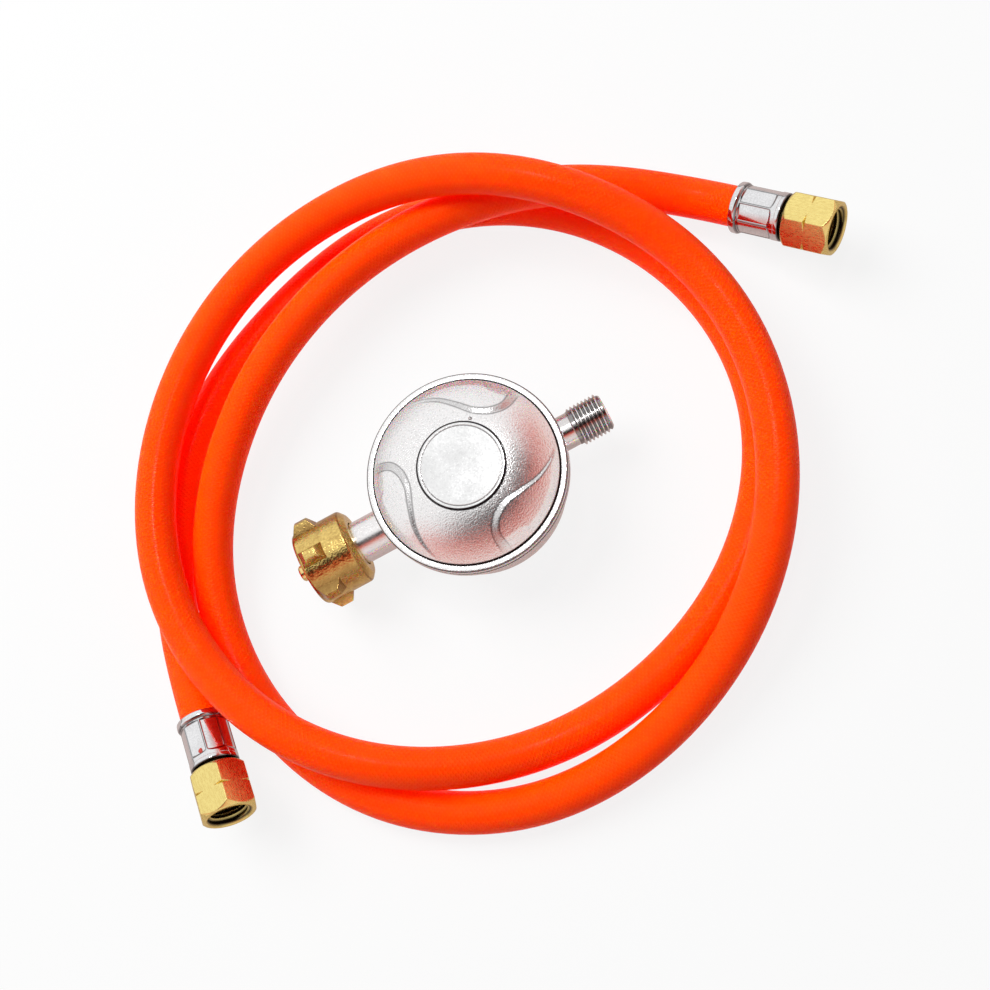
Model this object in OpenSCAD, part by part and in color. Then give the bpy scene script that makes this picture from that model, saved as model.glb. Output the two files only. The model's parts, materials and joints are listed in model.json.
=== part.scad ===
// Low-pressure propane regulator with its hose assembly, sizes in millimetres.
// The regulator stands on its base at z = 0, with its inlet and outlet along X.
// The hose lies in two and a half loose loops round it, a union nut at each end.

/* [Housing] */
// Height of the inlet and outlet axis over the base
axis_h = 16.5; // [16.2:0.1:18]
// Radius of the clamped rim
rim_r = 32; // [31.5:0.5:35]
// Height of the face where the two shells meet
joint_h = 27; // [26.5:0.5:30]
// Thickness of each shell's flange
flange_t = 2.4; // [2:0.1:2.8]
// Width of the flat land outside the dome
land_w = 2.6; // [2.2:0.1:3.5]
// Height of the step between the land and the dome
step_h = 0.6; // [0.3:0.1:1]
// Rise of the dome over its step
crown_h = 7.8; // [7:0.2:9]
// Radius of the rolled edge round the land
bead_r = 1; // [0.6:0.1:1.3]
// Width of the groove between the land and the dome
groove_w = 0.5; // [0.3:0.1:0.7]
// Wall of both shells
wall = 2.4; // [2:0.1:3]
// Radius of the flat foot
base_r = 21; // [18:0.5:24]
// Radius of the breather hole
vent_r = 0.5; // [0.3:0.1:0.8]

/* [Swirls on the dome] */
// Number of swirled panels
swirls = 3; // [2:1:4]
// Rise of a panel over the dome
swirl_rise = 0.5; // [0.3:0.05:0.7]
// Angle of the first panel's broad end
swirl_turn = 30.5; // [0:0.5:119.5]

/* [Sealing cap and setting screw] */
// Radius of the sealing cap
cap_r = 13.9; // [13:0.1:15]
// Thickness of the sealing cap
cap_t = 1.3; // [1:0.1:1.6]
// Radius of the setting screw's thread
screw_r = 8.9; // [8.2:0.1:9.4]
// Length of the setting screw
screw_len = 2.6; // [2:0.1:3]
// Width across the screw's hex socket
screw_socket_af = 6; // [5:0.5:8]

/* [Setting spring] */
// Mean radius of the setting spring
spring_r = 6.4; // [5.6:0.1:7]
// Radius of the spring's wire
spring_wire_r = 0.65; // [0.4:0.05:0.7]
// Number of turns in the spring
spring_turns = 4.5; // [3:0.5:6]

/* [Diaphragm] */
// Thickness of the rubber
rubber_t = 0.6; // [0.5:0.1:0.8]
// Depth of the diaphragm's centre below its rim at rest
sag = 3; // [2.6:0.1:3.4]
// Radius of the pressed plate on the diaphragm
plate_r = 18; // [16:0.5:19]
// Thickness of the pressed plate
plate_t = 0.8; // [0.6:0.1:1]
// Radius of the washer under the diaphragm
washer_r = 9; // [7:0.5:11]
// Radius of the rivet that ties the stack
rivet_r = 1.5; // [1.2:0.1:1.8]

/* [Lever and valve] */
// Reach of the lever from its pin to the rivet
lever_reach = 16; // [15.5:0.1:16.5]
// Drop of the lever's pin below the inlet axis
pivot_drop = 5; // [4.8:0.1:5.2]
// Radius of the lever's pin
pin_r = 1; // [0.8:0.1:1.1]
// Thickness of the lever's long arm
lever_t = 1.6; // [1.2:0.1:1.8]
// Width of the lever
lever_w = 2.8; // [2:0.2:3]
// Radius of the valve carrier
carrier_r = 3.1; // [2.9:0.1:3.2]
// Opening of the valve at rest
valve_lift = 0.8; // [0.7:0.05:0.9]
// Radius of the nozzle's orifice
orifice_r = 0.8; // [0.5:0.1:1]

/* [Inlet and handwheel] */
// Distance from the disc's centre to the handwheel's mouth
mouth_x = 60; // [59:0.5:64]
// Length of the handwheel
wheel_len = 18; // [17:0.5:20]
// Outer radius of the handwheel's barrel
wheel_r = 12.5; // [12.3:0.1:13]
// Radius over the handwheel's lugs
lug_r = 15.5; // [14.5:0.1:15.8]
// Length of each lug
lug_len = 8.6; // [7.6:0.2:11]
// Slope of each lug's ends, along the barrel
lug_bevel = 2.2; // [1.4:0.2:3]
// Width of a lug where it leaves the barrel
lug_foot_w = 5.8; // [4.6:0.2:8]
// Width of a lug's top
lug_top_w = 2.8; // [1.6:0.2:4]
// Number of lugs
lugs = 6; // [4:1:8]
// Radius of the handwheel's internal thread
wheel_thread_r = 10.95; // [10.9:0.05:11.2]
// Radius of the housing's inlet spigot
spigot_r = 7.1; // [6.8:0.1:7.7]
// Radius of the stem where the handwheel turns on it
stem_neck_r = 6.1; // [5.8:0.1:6.4]
// Radius of the stem's flange
stem_flange_r = 9.4; // [8.6:0.1:9.8]
// Radius of the stem's nose
nose_r = 2.7; // [2.3:0.1:3]
// Length of nose that stands out of the mouth
nose_out = 3.4; // [2:0.2:5]
// Radius of the gas way through the stem
gas_r = 1.5; // [1:0.1:1.8]

/* [Outlet] */
// Distance from the disc's centre to the outlet's end
outlet_x = 47.5; // [46:0.5:52]
// Length of the outlet thread
outlet_thread_len = 12; // [10:0.5:13]
// Radius of the outlet thread, left-hand G1/4
outlet_thread_r = 6.58; // [6.5:0.02:6.66]
// Radius of the relief behind the thread
outlet_neck_r = 5.6; // [5.2:0.1:5.9]
// Radius of the gas way through the outlet
outlet_gas_r = 3; // [2.4:0.1:3.4]

/* [Hose] */
// Radius of the hose
hose_r = 6.65; // [6.4:0.05:6.7]
// Radius of the hose's bore
hose_bore_r = 3.15; // [3:0.05:3.4]

/* [Hose fittings] */
// Length of the crimped ferrule
ferrule_len = 17; // [15:0.5:18.5]
// Radius of the ferrule's crimped body
ferrule_r = 7.8; // [7.7:0.05:8]
// Radius of the ferrule's flared collar
collar_r = 8.4; // [8.1:0.1:8.8]
// Depth of the crimp flats
crimp_depth = 0.4; // [0.2:0.05:0.45]
// Radius of the tail where the nut turns on it
tail_neck_r = 4.3; // [4:0.1:4.5]
// Radius of the tail's head
tail_head_r = 5.5; // [5.2:0.1:5.7]
// Radius of the gas way through the tail
tail_gas_r = 1.9; // [1.5:0.1:2.1]
// Width across the union nut's flats
nut_af = 17; // [16.6:0.2:18]
// Length of the union nut
nut_len = 16; // [15.5:0.5:20]
// Radius of the union nut's internal thread
nut_thread_r = 6.65; // [6.6:0.05:6.8]

/* [Clearances] */
// Radial clearance of a piece that turns or slides
run = 0.06; // [0.03:0.01:0.09]
// Radial clearance of a piece that is pressed or screwed in
seat = 0.02; // [0.01:0.01:0.04]
// Free gap between pieces that pass each other
gap = 0.3; // [0.2:0.05:0.4]

/* [Hidden] */
round_fn = 64;
fine_fn = 32;
skin = 0.01;

// Housing levels, from the base upwards
cover_h = joint_h + rubber_t;
land_h = cover_h + flange_t;
dome_r = rim_r - land_w;
dome_foot = land_h + step_h;
crown_power = 2.6;
groove_depth = 0.4;
swirl_fade = 2.2;
// One panel's edge: angle past its broad end, and share of the dome's radius
swirl_edge = [
    [0, 0.97], [-1, 0.82], [2, 0.72], [10, 0.64], [24, 0.615],
    [40, 0.69], [54, 0.81], [66, 0.91], [76, 0.985]
];
vent_turn = 53;
cap_seat_r = cap_r + 2 * seat;
cap_top = crown(cap_seat_r) + 0.5;
cap_seat_h = cap_top - cap_t;
chamber_r = rim_r - 6;
chamber_floor = 4;
bowl_r = rim_r - 3.2;
bonnet_wall = 2;
screw_top = cap_seat_h;
screw_bottom = screw_top - screw_len;

// Diaphragm stack, at rest with the valve open
disc_bottom = joint_h - sag;
disc_r = plate_r + 1.5;
plate_top = disc_bottom + rubber_t + plate_t;
washer_t = 0.8;
rivet_head_t = 0.9;

// Lever and valve, along the inlet axis
pivot_h = axis_h - pivot_drop;
pad_r = carrier_r - 0.8;
pad_out = 0.4;
pad_t = 1.6;
nozzle_tip_x = 26;
pad_face_x = nozzle_tip_x - valve_lift;
carrier_front_x = pad_face_x - pad_out;
carrier_back_x = lever_reach - 3;
guide_end_x = lever_reach + 3;
nozzle_r = carrier_r + 0.35;
nozzle_back_x = nozzle_tip_x + 5;
ear_t = 1.8;
ear_gap = lever_w / 2 + 0.2;
finger_r = 1.2;
hook_w = 5;
hook_h = 5.2;

// Inlet stem and handwheel, distances from the disc's centre
wheel_back_x = mouth_x - wheel_len;
spigot_x = wheel_back_x + 1.5;
recess_x = spigot_x + gap;
web_t = 3;
web_x = recess_x + web_t;
flange_x = web_x + gap;
stem_flange_t = 2.5;
seal_x = flange_x + stem_flange_t;
seal_t = 2;
shank_r = stem_neck_r - 0.6;
filter_len = 4.5;
filter_r = 3;

// Outlet nipple
outlet_shank_r = 4.8;
outlet_boss_r = 7;
outlet_boss_x = rim_r - 2;
outlet_seat_x = outlet_boss_x - 5;

// Hose fittings, distances from the ferrule's open end
hose_end = ferrule_len - 1.9;
ferrule_cap_u = hose_end + gap;
ferrule_bore_r = hose_r + seat;
tail_r = hose_bore_r * cos(30) - seat;
nut_u = ferrule_len + 1;
nut_web = 2.6;
head_u = nut_u + nut_web + gap;
head_len = 3;
nose_len = 3.2;
nut_end = nut_u + nut_len;
nut_thread_u = head_u + head_len + nose_len + 0.2;
nut_lead = 0.6;

// Ends of the hose: x, y and height of the ferrule's mouth, its heading and its rise
end_a = [117.1, 41, 12.5, -50.5, 13];
end_b = [-113.4, -26.1, 12.5, -92, 13];
end_run = 20;
// Turn of the crimps and of the nut round each end's axis
turned_a = [12, 25.5];
turned_b = [-12, -23];
// Centre of the loops, the turn of the first waypoint and the step between them
coil_centre = [-6, -0.6];
first_turn = 48;
turn_step = 30;
// Waypoints of the loops: distance from the centre, height of the hose's axis
waypoints = [
    [102, 26.3], [89, 19.5], [79.5, 20.5], [79, 17], [87.5, 9],
    [94, 6.8], [99.5, 6.8], [100.5, 6.8], [97.5, 10.5], [98.5, 21],
    [101, 21.5], [105, 19.5], [98, 43], [103.5, 29.5], [104.5, 22],
    [101.5, 21.5], [100.5, 21.5], [95.5, 22], [89, 21.5], [83.5, 6.8],
    [83.5, 6.8], [90.5, 6.8], [99.5, 6.8], [103, 6.8], [104, 6.8],
    [101, 6.8], [92, 6.8], [97.5, 6.8], [99, 6.8]
];
rings_per_step = 2;
hose_sides = 6;

// ---------- shapes shared by several pieces ----------

// Height of the dome's outer face at radius r
function crown(r) = dome_foot + crown_h * (1 - pow(r / dome_r, crown_power));

// Points of the dome's outer face from radius a to radius b, lowered by drop
function crown_line(a, b, drop, steps = 12) =
    [for (i = [0 : steps]) let (r = a + (b - a) * i / steps) [r, crown(r) - drop]];

// Turns a profile of [distance along X, radius] points round the X axis
module turned(profile, fn = round_fn) {
    rotate([0, 90, 0])
        rotate_extrude($fn = fn)
            polygon([for (p = profile) [p[1], p[0]]]);
}

// A round bar along X from x = a to x = b
module bar(r, a, b, fn = round_fn) {
    translate([a, 0, 0]) rotate([0, 90, 0]) cylinder(h = b - a, r = r, $fn = fn);
}

// Places the inlet's pieces: the local X axis runs outwards along the inlet
module on_inlet() {
    translate([0, 0, axis_h]) rotate([0, 0, 180]) children();
}

// Places the outlet's pieces on the same axis
module on_outlet() {
    translate([0, 0, axis_h]) children();
}

// Places a hose end's pieces: the local X axis runs from the hose to the mouth
module on_end(end) {
    translate([end[0], end[1], end[2]]) rotate([0, -end[4], end[3]]) children();
}

// ---------- swept tubes ----------

function unit(v) = v / norm(v);

// Side and upward directions of the ring at point i of a path
function ring_axes(path, i) =
    let (
        n = len(path) - 1,
        t = unit(path[min(i + 1, n)] - path[max(i - 1, 0)]),
        side = unit(cross([0, 0, 1], t))
    ) [side, cross(t, side)];

// One ring of a tube, its first corner at the top
function ring(path, i, r, sides) =
    let (axes = ring_axes(path, i))
    [for (k = [0 : sides - 1])
        path[i] + r * (sin(360 * k / sides) * axes[0] + cos(360 * k / sides) * axes[1])];

// Two triangles for each of a ring's quads, between the rings at a and b
function band(a, b, sides) = [for (k = [0 : sides - 1]) let (m = (k + 1) % sides)
    each [[a + k, b + k, b + m], [a + k, b + m, a + m]]];

// A solid wire along a path
module wire(path, r, sides) {
    n = len(path);
    rings = [for (i = [0 : n - 1]) each ring(path, i, r, sides)];
    last = (n - 1) * sides;
    polyhedron(
        points = rings,
        faces = concat(
            [for (i = [0 : n - 2]) each band(i * sides, (i + 1) * sides, sides)],
            [for (k = [1 : sides - 2]) [0, k, k + 1]],
            [for (k = [1 : sides - 2]) [last, last + k + 1, last + k]]));
}

// A hollow tube along a path, as one closed skin
module hollow_tube(path, outer, bore, sides) {
    n = len(path);
    inner_first = n * sides;
    last = (n - 1) * sides;
    points = concat(
        [for (i = [0 : n - 1]) each ring(path, i, outer, sides)],
        [for (i = [0 : n - 1]) each ring(path, i, bore, sides)]);
    polyhedron(
        points = points,
        faces = concat(
            [for (i = [0 : n - 2]) each band(i * sides, (i + 1) * sides, sides)],
            [for (i = [0 : n - 2])
                each band(inner_first + (i + 1) * sides, inner_first + i * sides, sides)],
            band(inner_first, 0, sides),
            band(last, inner_first + last, sides)));
}

// ---------- the hose's route ----------

function heading(end) = [cos(end[3]) * cos(end[4]), sin(end[3]) * cos(end[4]), sin(end[4])];
function mouth(end) = [end[0], end[1], end[2]];

// The waypoints' radii are pulled out, because a smooth spline cuts its corners
spline_pull = (2 + cos(turn_step)) / 3;
loop_controls = [for (i = [0 : len(waypoints) - 1])
    let (a = first_turn + i * turn_step, r = waypoints[i][0] / spline_pull)
    [coil_centre[0] + r * cos(a), coil_centre[1] + r * sin(a), waypoints[i][1]]];
controls = concat(
    [mouth(end_a) + end_run * heading(end_a), mouth(end_a), mouth(end_a) - end_run * heading(end_a)],
    loop_controls,
    [mouth(end_b) - end_run * heading(end_b), mouth(end_b), mouth(end_b) + end_run * heading(end_b)]);

// A point of the uniform cubic spline, t from 0 to 1 past control i
function spline(c, i, t) = (pow(1 - t, 3) * c[i]
    + (3 * pow(t, 3) - 6 * pow(t, 2) + 4) * c[i + 1]
    + (-3 * pow(t, 3) + 3 * pow(t, 2) + 3 * t + 1) * c[i + 2]
    + pow(t, 3) * c[i + 3]) / 6;

// The hose's axis, with a straight run into each ferrule
free_path = concat(
    [for (i = [0 : len(controls) - 4], k = [0 : rings_per_step - 1])
        spline(controls, i, k / rings_per_step)],
    [mouth(end_b)]);
hose_path = concat(
    [mouth(end_a) + hose_end * heading(end_a)],
    free_path,
    [mouth(end_b) + hose_end * heading(end_b)]);

// Least gap of the hose to itself, on points along the chords between its rings
samples = 6;
fine_path = [for (i = [0 : len(hose_path) - 2], k = [0 : samples - 1])
    hose_path[i] + (hose_path[i + 1] - hose_path[i]) * k / samples];
skip = 4 * samples;
least_gap = min([for (i = [0 : len(fine_path) - 1 - skip], j = [i + skip : len(fine_path) - 1])
    norm(fine_path[i] - fine_path[j])]) - 2 * hose_r;
hose_steps = [for (i = [0 : len(hose_path) - 2]) norm(hose_path[i + 1] - hose_path[i])];
hose_length = hose_steps * [for (s = hose_steps) 1];
echo(least_gap_of_hose_to_itself = least_gap, hose_length = hose_length);

// ---------- housing ----------

module lower_body() {
    color("silver") difference() {
        union() {
            difference() {
                union() {
                    bowl();
                    on_inlet() bar(spigot_r, chamber_r - 8, spigot_x);
                    on_outlet() bar(outlet_boss_r, chamber_r - 8, outlet_boss_x);
                }
                chamber();
            }
            on_inlet() bar(carrier_r + 2, guide_end_x, chamber_r);
            lever_ears();
        }
        on_inlet() {
            bar(shank_r + seat, nozzle_back_x, spigot_x + skin);
            bar(nozzle_r + seat, nozzle_tip_x + 1, nozzle_back_x + skin, fine_fn);
            bar(carrier_r + run, guide_end_x - skin, nozzle_tip_x + 1 + skin, fine_fn);
        }
        on_outlet() {
            bar(outlet_shank_r + seat, outlet_seat_x, outlet_boss_x + skin);
            bar(outlet_gas_r, chamber_r - 9, outlet_seat_x + skin, fine_fn);
        }
        pin_hole(pin_r + seat / 2, ear_gap + ear_t + skin);
    }
}

// Outer form of the lower shell: foot, belly and flange
module bowl() {
    foot_h = 1.2;
    belly_steps = 6;
    rotate_extrude($fn = 96) polygon(concat(
        [[0, 0], [base_r, 0], [base_r + 0.6, foot_h]],
        [for (i = [1 : belly_steps]) let (a = 90 * i / belly_steps)
            [base_r + 0.6 + (bowl_r - base_r - 0.6) * sin(a),
             foot_h + 8 * (1 - cos(a))]],
        [[bowl_r, joint_h - flange_t - 1], [rim_r - 0.4, joint_h - flange_t],
         [rim_r, joint_h - flange_t + 0.4], [rim_r, joint_h], [0, joint_h]]));
}

// Gas chamber under the diaphragm
module chamber() {
    rotate_extrude($fn = 96) polygon([
        [0, chamber_floor], [base_r - wall, chamber_floor], [chamber_r - 2, chamber_floor + 6],
        [chamber_r - 2, disc_bottom - 2], [chamber_r, joint_h - 1], [chamber_r, joint_h + skin],
        [0, joint_h + skin]]);
}

// Two ears that carry the lever's pin
module lever_ears() {
    for (side = [-1, 1])
        translate([-lever_reach, side * (ear_gap + ear_t / 2), 0])
            translate([-2, -ear_t / 2, chamber_floor - 1])
                cube([4, ear_t, pivot_h + pin_r + 0.7 - chamber_floor + 1]);
}

module pin_hole(r, reach) {
    translate([-lever_reach, reach, pivot_h])
        rotate([90, 0, 0]) cylinder(h = 2 * reach, r = r, $fn = fine_fn);
}

module upper_cover() {
    bonnet_r = screw_r + seat + bonnet_wall;
    inner_r = chamber_r;
    bead_steps = 4;
    color("gainsboro") difference() {
        union() {
            rotate_extrude($fn = 96) polygon(concat(
                [[inner_r, cover_h], [rim_r - 0.4, cover_h], [rim_r, cover_h + 0.4]],
                [for (i = [0 : bead_steps]) let (a = 90 * i / bead_steps)
                    [rim_r - bead_r + bead_r * cos(a), land_h - bead_r + bead_r * sin(a)]],
                [[dome_r + groove_w, land_h], [dome_r, land_h - groove_depth]],
                crown_line(dome_r, cap_seat_r, 0),
                [[cap_seat_r, cap_seat_h], [screw_r + seat, cap_seat_h],
                 [screw_r + seat, screw_bottom - 0.6], [bonnet_r, screw_bottom - 0.6]],
                crown_line(bonnet_r, inner_r - 1, wall, 8),
                [[inner_r, cover_h + 1]]));
            for (i = [0 : swirls - 1]) rotate([0, 0, swirl_turn + 360 * i / swirls]) swirl_panel();
        }
        rotate([0, 0, vent_turn]) translate([cap_seat_r + 1.2, 0, joint_h])
            cylinder(h = 15, r = vent_r, $fn = 24);
    }
}

// A point of the smooth curve through the points c, t from 0 to 1 past point i
function through(c, i, t) =
    let (
        n = len(c) - 1,
        a = c[i], b = c[i + 1],
        before = i == 0 ? 2 * a - b : c[i - 1],
        after = i + 1 == n ? 2 * b - a : c[i + 2]
    ) a + t * (b - before) / 2 + t * t * (before - 2.5 * a + 2 * b - after / 2)
        + t * t * t * (after - before + 3 * (a - b)) / 2;

// One raised panel, between an S-shaped edge and the dome's foot
module swirl_panel() {
    edge_steps = 4;
    polar = [for (i = [0 : len(swirl_edge) - 2], k = [0 : edge_steps - 1])
        through(swirl_edge, i, k / edge_steps)];
    edge = [for (p = concat(polar, [swirl_edge[len(swirl_edge) - 1]]))
        dome_r * p[1] * [cos(p[0]), sin(p[0])]];
    sweep = swirl_edge[len(swirl_edge) - 1][0];
    outer_r = dome_r - 0.6;
    inner_r = 0.55 * dome_r;
    intersection() {
        linear_extrude(land_h + crown_h + 5)
            polygon(concat(edge, [for (i = [4 : -1 : 0])
                (rim_r + 4) * [cos(sweep * i / 4), sin(sweep * i / 4)]]));
        rotate_extrude($fn = 96) polygon(concat(
            crown_line(inner_r, outer_r, wall / 2, 6),
            [for (i = [8 : -1 : 0]) let (r = inner_r + (outer_r - inner_r) * i / 8)
                [r, crown(r) + swirl_rise * min(1, (dome_r - r) / swirl_fade)]]));
    }
}

module label_cap() {
    groove_r = cap_r - 1.2;
    color("whitesmoke") rotate_extrude($fn = 96) polygon([
        [0, cap_seat_h], [cap_r, cap_seat_h], [cap_r, cap_top - 0.3], [cap_r - 0.3, cap_top],
        [groove_r + 0.2, cap_top], [groove_r + 0.2, cap_top - 0.25],
        [groove_r - 0.2, cap_top - 0.25], [groove_r - 0.2, cap_top], [0, cap_top]]);
}

module adjusting_screw() {
    color("darkgoldenrod") difference() {
        translate([0, 0, screw_bottom]) cylinder(h = screw_len, r = screw_r, $fn = round_fn);
        translate([0, 0, screw_top - 1.6])
            cylinder(h = 2, r = screw_socket_af / 2 / cos(30), $fn = 6);
    }
}

module main_spring() {
    steps_per_turn = 8;
    steps = spring_turns * steps_per_turn;
    low = plate_top + spring_wire_r + seat;
    high = screw_bottom - spring_wire_r - seat;
    path = [for (i = [0 : steps]) let (a = 360 * i / steps_per_turn)
        [spring_r * cos(a), spring_r * sin(a), low + (high - low) * i / steps]];
    color("lightsteelblue") wire(path, spring_wire_r, 6);
}

// ---------- diaphragm stack ----------

module diaphragm() {
    slope_r = chamber_r - 1;
    color("dimgray") rotate_extrude($fn = 96) polygon([
        [rivet_r + seat, disc_bottom], [disc_r, disc_bottom], [slope_r, joint_h],
        [rim_r - 0.5, joint_h], [rim_r - 0.5, cover_h], [slope_r, cover_h],
        [disc_r, disc_bottom + rubber_t], [rivet_r + seat, disc_bottom + rubber_t]]);
}

module diaphragm_plate() {
    lip = 0.8;
    low = disc_bottom + rubber_t;
    color("slategray") rotate_extrude($fn = round_fn) polygon([
        [rivet_r + seat, low], [plate_r, low], [plate_r + lip, low + lip],
        [plate_r + lip, plate_top + lip], [plate_r, plate_top], [rivet_r + seat, plate_top]]);
}

module diaphragm_washer() {
    color("slategray") translate([0, 0, disc_bottom - washer_t]) difference() {
        cylinder(h = washer_t, r = washer_r, $fn = round_fn);
        translate([0, 0, -skin]) cylinder(h = washer_t + 2 * skin, r = rivet_r + seat, $fn = fine_fn);
    }
}

// Rivet of the stack, with the hook that lifts the lever
module diaphragm_rivet() {
    window_w = lever_w + 2 * gap;
    window_h = lever_t + 1.2;
    collar_t = 1;
    hook_top = pivot_h + hook_h / 2;
    color("goldenrod") {
        translate([0, 0, hook_top - skin])
            cylinder(h = plate_top - hook_top + skin, r = rivet_r, $fn = fine_fn);
        translate([0, 0, plate_top]) cylinder(h = rivet_head_t, r = 2 * rivet_r, $fn = fine_fn);
        translate([0, 0, disc_bottom - washer_t - collar_t])
            cylinder(h = collar_t, r = 2 * rivet_r, $fn = fine_fn);
        difference() {
            translate([-hook_w / 2, -hook_w / 2 - 0.5, pivot_h - hook_h / 2])
                cube([hook_w, hook_w + 1, hook_h]);
            translate([-hook_w, -window_w / 2, pivot_h - window_h / 2])
                cube([2 * hook_w, window_w, window_h]);
        }
    }
}

// ---------- lever and valve ----------

module lever() {
    hub_r = pin_r + 0.9;
    reach = lever_reach + hook_w / 2 + 1;
    color("silver") translate([-lever_reach, 0, pivot_h]) rotate([90, 0, 0]) difference() {
        translate([0, 0, -lever_w / 2]) linear_extrude(lever_w) {
            circle(r = hub_r, $fn = fine_fn);
            translate([0, -lever_t / 2]) square([reach, lever_t]);
            translate([-0.8, 0]) square([1.6, pivot_drop]);
            translate([0, pivot_drop]) circle(r = finger_r, $fn = fine_fn);
        }
        translate([0, 0, -lever_w]) cylinder(h = 2 * lever_w, r = pin_r + run, $fn = fine_fn);
    }
}

module lever_pin() {
    color("dimgray") pin_hole(pin_r, ear_gap + ear_t);
}

module valve_carrier() {
    slot = 2 * (finger_r + run);
    color("goldenrod") on_inlet() difference() {
        bar(carrier_r, carrier_back_x, carrier_front_x, fine_fn);
        bar(pad_r + seat, carrier_front_x - pad_t + pad_out, carrier_front_x + 1, fine_fn);
        translate([lever_reach - slot / 2, -lever_w / 2 - gap, -carrier_r - 1])
            cube([slot, lever_w + 2 * gap, carrier_r + 1 + finger_r + 0.4]);
    }
}

module valve_pad() {
    color("black") on_inlet() bar(pad_r, pad_face_x - pad_t, pad_face_x, fine_fn);
}

module inlet_nozzle() {
    color("gold") on_inlet() difference() {
        union() {
            bar(nozzle_r, nozzle_tip_x + 1, nozzle_back_x, fine_fn);
            turned([[nozzle_tip_x, 0], [nozzle_tip_x, orifice_r + 0.4],
                    [nozzle_tip_x + 1, 2.2], [nozzle_tip_x + 1.5, 2.2],
                    [nozzle_tip_x + 1.5, 0]], fine_fn);
        }
        bar(orifice_r, nozzle_tip_x - 1, nozzle_back_x + 1, fine_fn);
    }
}

// ---------- inlet and handwheel ----------

module inlet_filter() {
    color("peru") on_inlet()
        bar(filter_r - seat, nozzle_back_x + gap, nozzle_back_x + filter_len, fine_fn);
}

module inlet_stem() {
    color("gold") on_inlet() difference() {
        union() {
            bar(shank_r, nozzle_back_x, spigot_x);
            bar(stem_neck_r, spigot_x, flange_x);
            bar(stem_flange_r, flange_x, seal_x);
            turned([[seal_x, 0], [seal_x, nose_r + 1.2], [seal_x + seal_t + 1, nose_r + 1.2],
                    [seal_x + seal_t + 2, nose_r], [mouth_x + nose_out - 0.5, nose_r],
                    [mouth_x + nose_out, nose_r - 0.5], [mouth_x + nose_out, 0]]);
        }
        bar(gas_r, nozzle_back_x - 1, mouth_x + nose_out + 1, fine_fn);
        bar(filter_r, nozzle_back_x - 1, nozzle_back_x + filter_len, fine_fn);
    }
}

module inlet_seal() {
    color("black") on_inlet() difference() {
        bar(stem_flange_r - 0.6, seal_x, seal_x + seal_t);
        bar(nose_r + 1.2 + seat, seal_x - 1, seal_x + seal_t + 1);
    }
}

module handwheel() {
    color("goldenrod") on_inlet() difference() {
        union() {
            turned([[wheel_back_x, 0], [wheel_back_x, wheel_r - 2.2],
                    [wheel_back_x + 1.8, wheel_r], [mouth_x - 0.8, wheel_r],
                    [mouth_x, wheel_r - 0.6], [mouth_x, 0]]);
            wheel_lugs();
        }
        bar(spigot_r + 0.4, wheel_back_x - 1, recess_x);
        bar(stem_neck_r + run, recess_x - 1, web_x + 1);
        bar(wheel_thread_r, web_x, mouth_x + 1);
        turned([[mouth_x - 0.8, 0], [mouth_x - 0.8, wheel_thread_r - skin],
                [mouth_x + skin, wheel_thread_r + 0.7], [mouth_x + skin, 0]]);
    }
}

// Bevelled lugs round the mouth of the handwheel
module wheel_lugs() {
    root_r = wheel_r - 0.6;
    start = mouth_x - 0.6;
    intersection() {
        turned([[start - lug_len, 0], [start - lug_len, root_r],
                [start - lug_len + lug_bevel, lug_r], [start - lug_bevel, lug_r],
                [start, root_r], [start, 0]]);
        for (i = [0 : lugs - 1]) rotate([360 * i / lugs, 0, 0])
            translate([start - lug_len, 0, 0]) rotate([90, 0, 90]) linear_extrude(lug_len)
                polygon([[-lug_foot_w / 2, root_r - 2], [-lug_foot_w / 2, root_r],
                         [-lug_top_w / 2, lug_r + skin], [lug_top_w / 2, lug_r + skin],
                         [lug_foot_w / 2, root_r], [lug_foot_w / 2, root_r - 2]]);
    }
}

// ---------- outlet ----------

module outlet_nipple() {
    thread_x = outlet_x - outlet_thread_len;
    color("silver") on_outlet() difference() {
        union() {
            bar(outlet_shank_r, outlet_seat_x, outlet_boss_x);
            bar(outlet_neck_r, outlet_boss_x, thread_x);
            bar(outlet_thread_r, thread_x, outlet_x);
        }
        bar(outlet_gas_r, outlet_seat_x - 1, outlet_x + 1, fine_fn);
        turned([[outlet_x - 2.4, 0], [outlet_x - 2.4, outlet_gas_r - skin],
                [outlet_x + skin, outlet_gas_r + 2], [outlet_x + skin, 0]], fine_fn);
    }
}

// ---------- hose and its fittings ----------

module hose() {
    color("orangered") hollow_tube(hose_path, hose_r, hose_bore_r, hose_sides);
}

module ferrule(end, turn) {
    flat_start = 2.8;
    flat_len = ferrule_len - 5.8;
    hole_r = tail_neck_r + seat;
    color("gainsboro") on_end(end) difference() {
        turned([[0, ferrule_bore_r], [0, collar_r - 0.3], [0.4, collar_r], [1.7, collar_r],
                [2.2, ferrule_r - 0.1], [2.6, ferrule_r], [ferrule_len - 1.5, ferrule_r],
                [ferrule_len - 0.7, ferrule_r - 0.3], [ferrule_len - 0.2, ferrule_r - 0.9],
                [ferrule_len, ferrule_r - 1.6],
                [ferrule_len, hole_r], [ferrule_cap_u, hole_r], [ferrule_cap_u, ferrule_bore_r]]);
        for (i = [0 : 7]) rotate([45 * i + 22.5 + turn, 0, 0])
            translate([flat_start, -4, ferrule_r - crimp_depth]) cube([flat_len, 8, 2]);
    }
}

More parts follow.
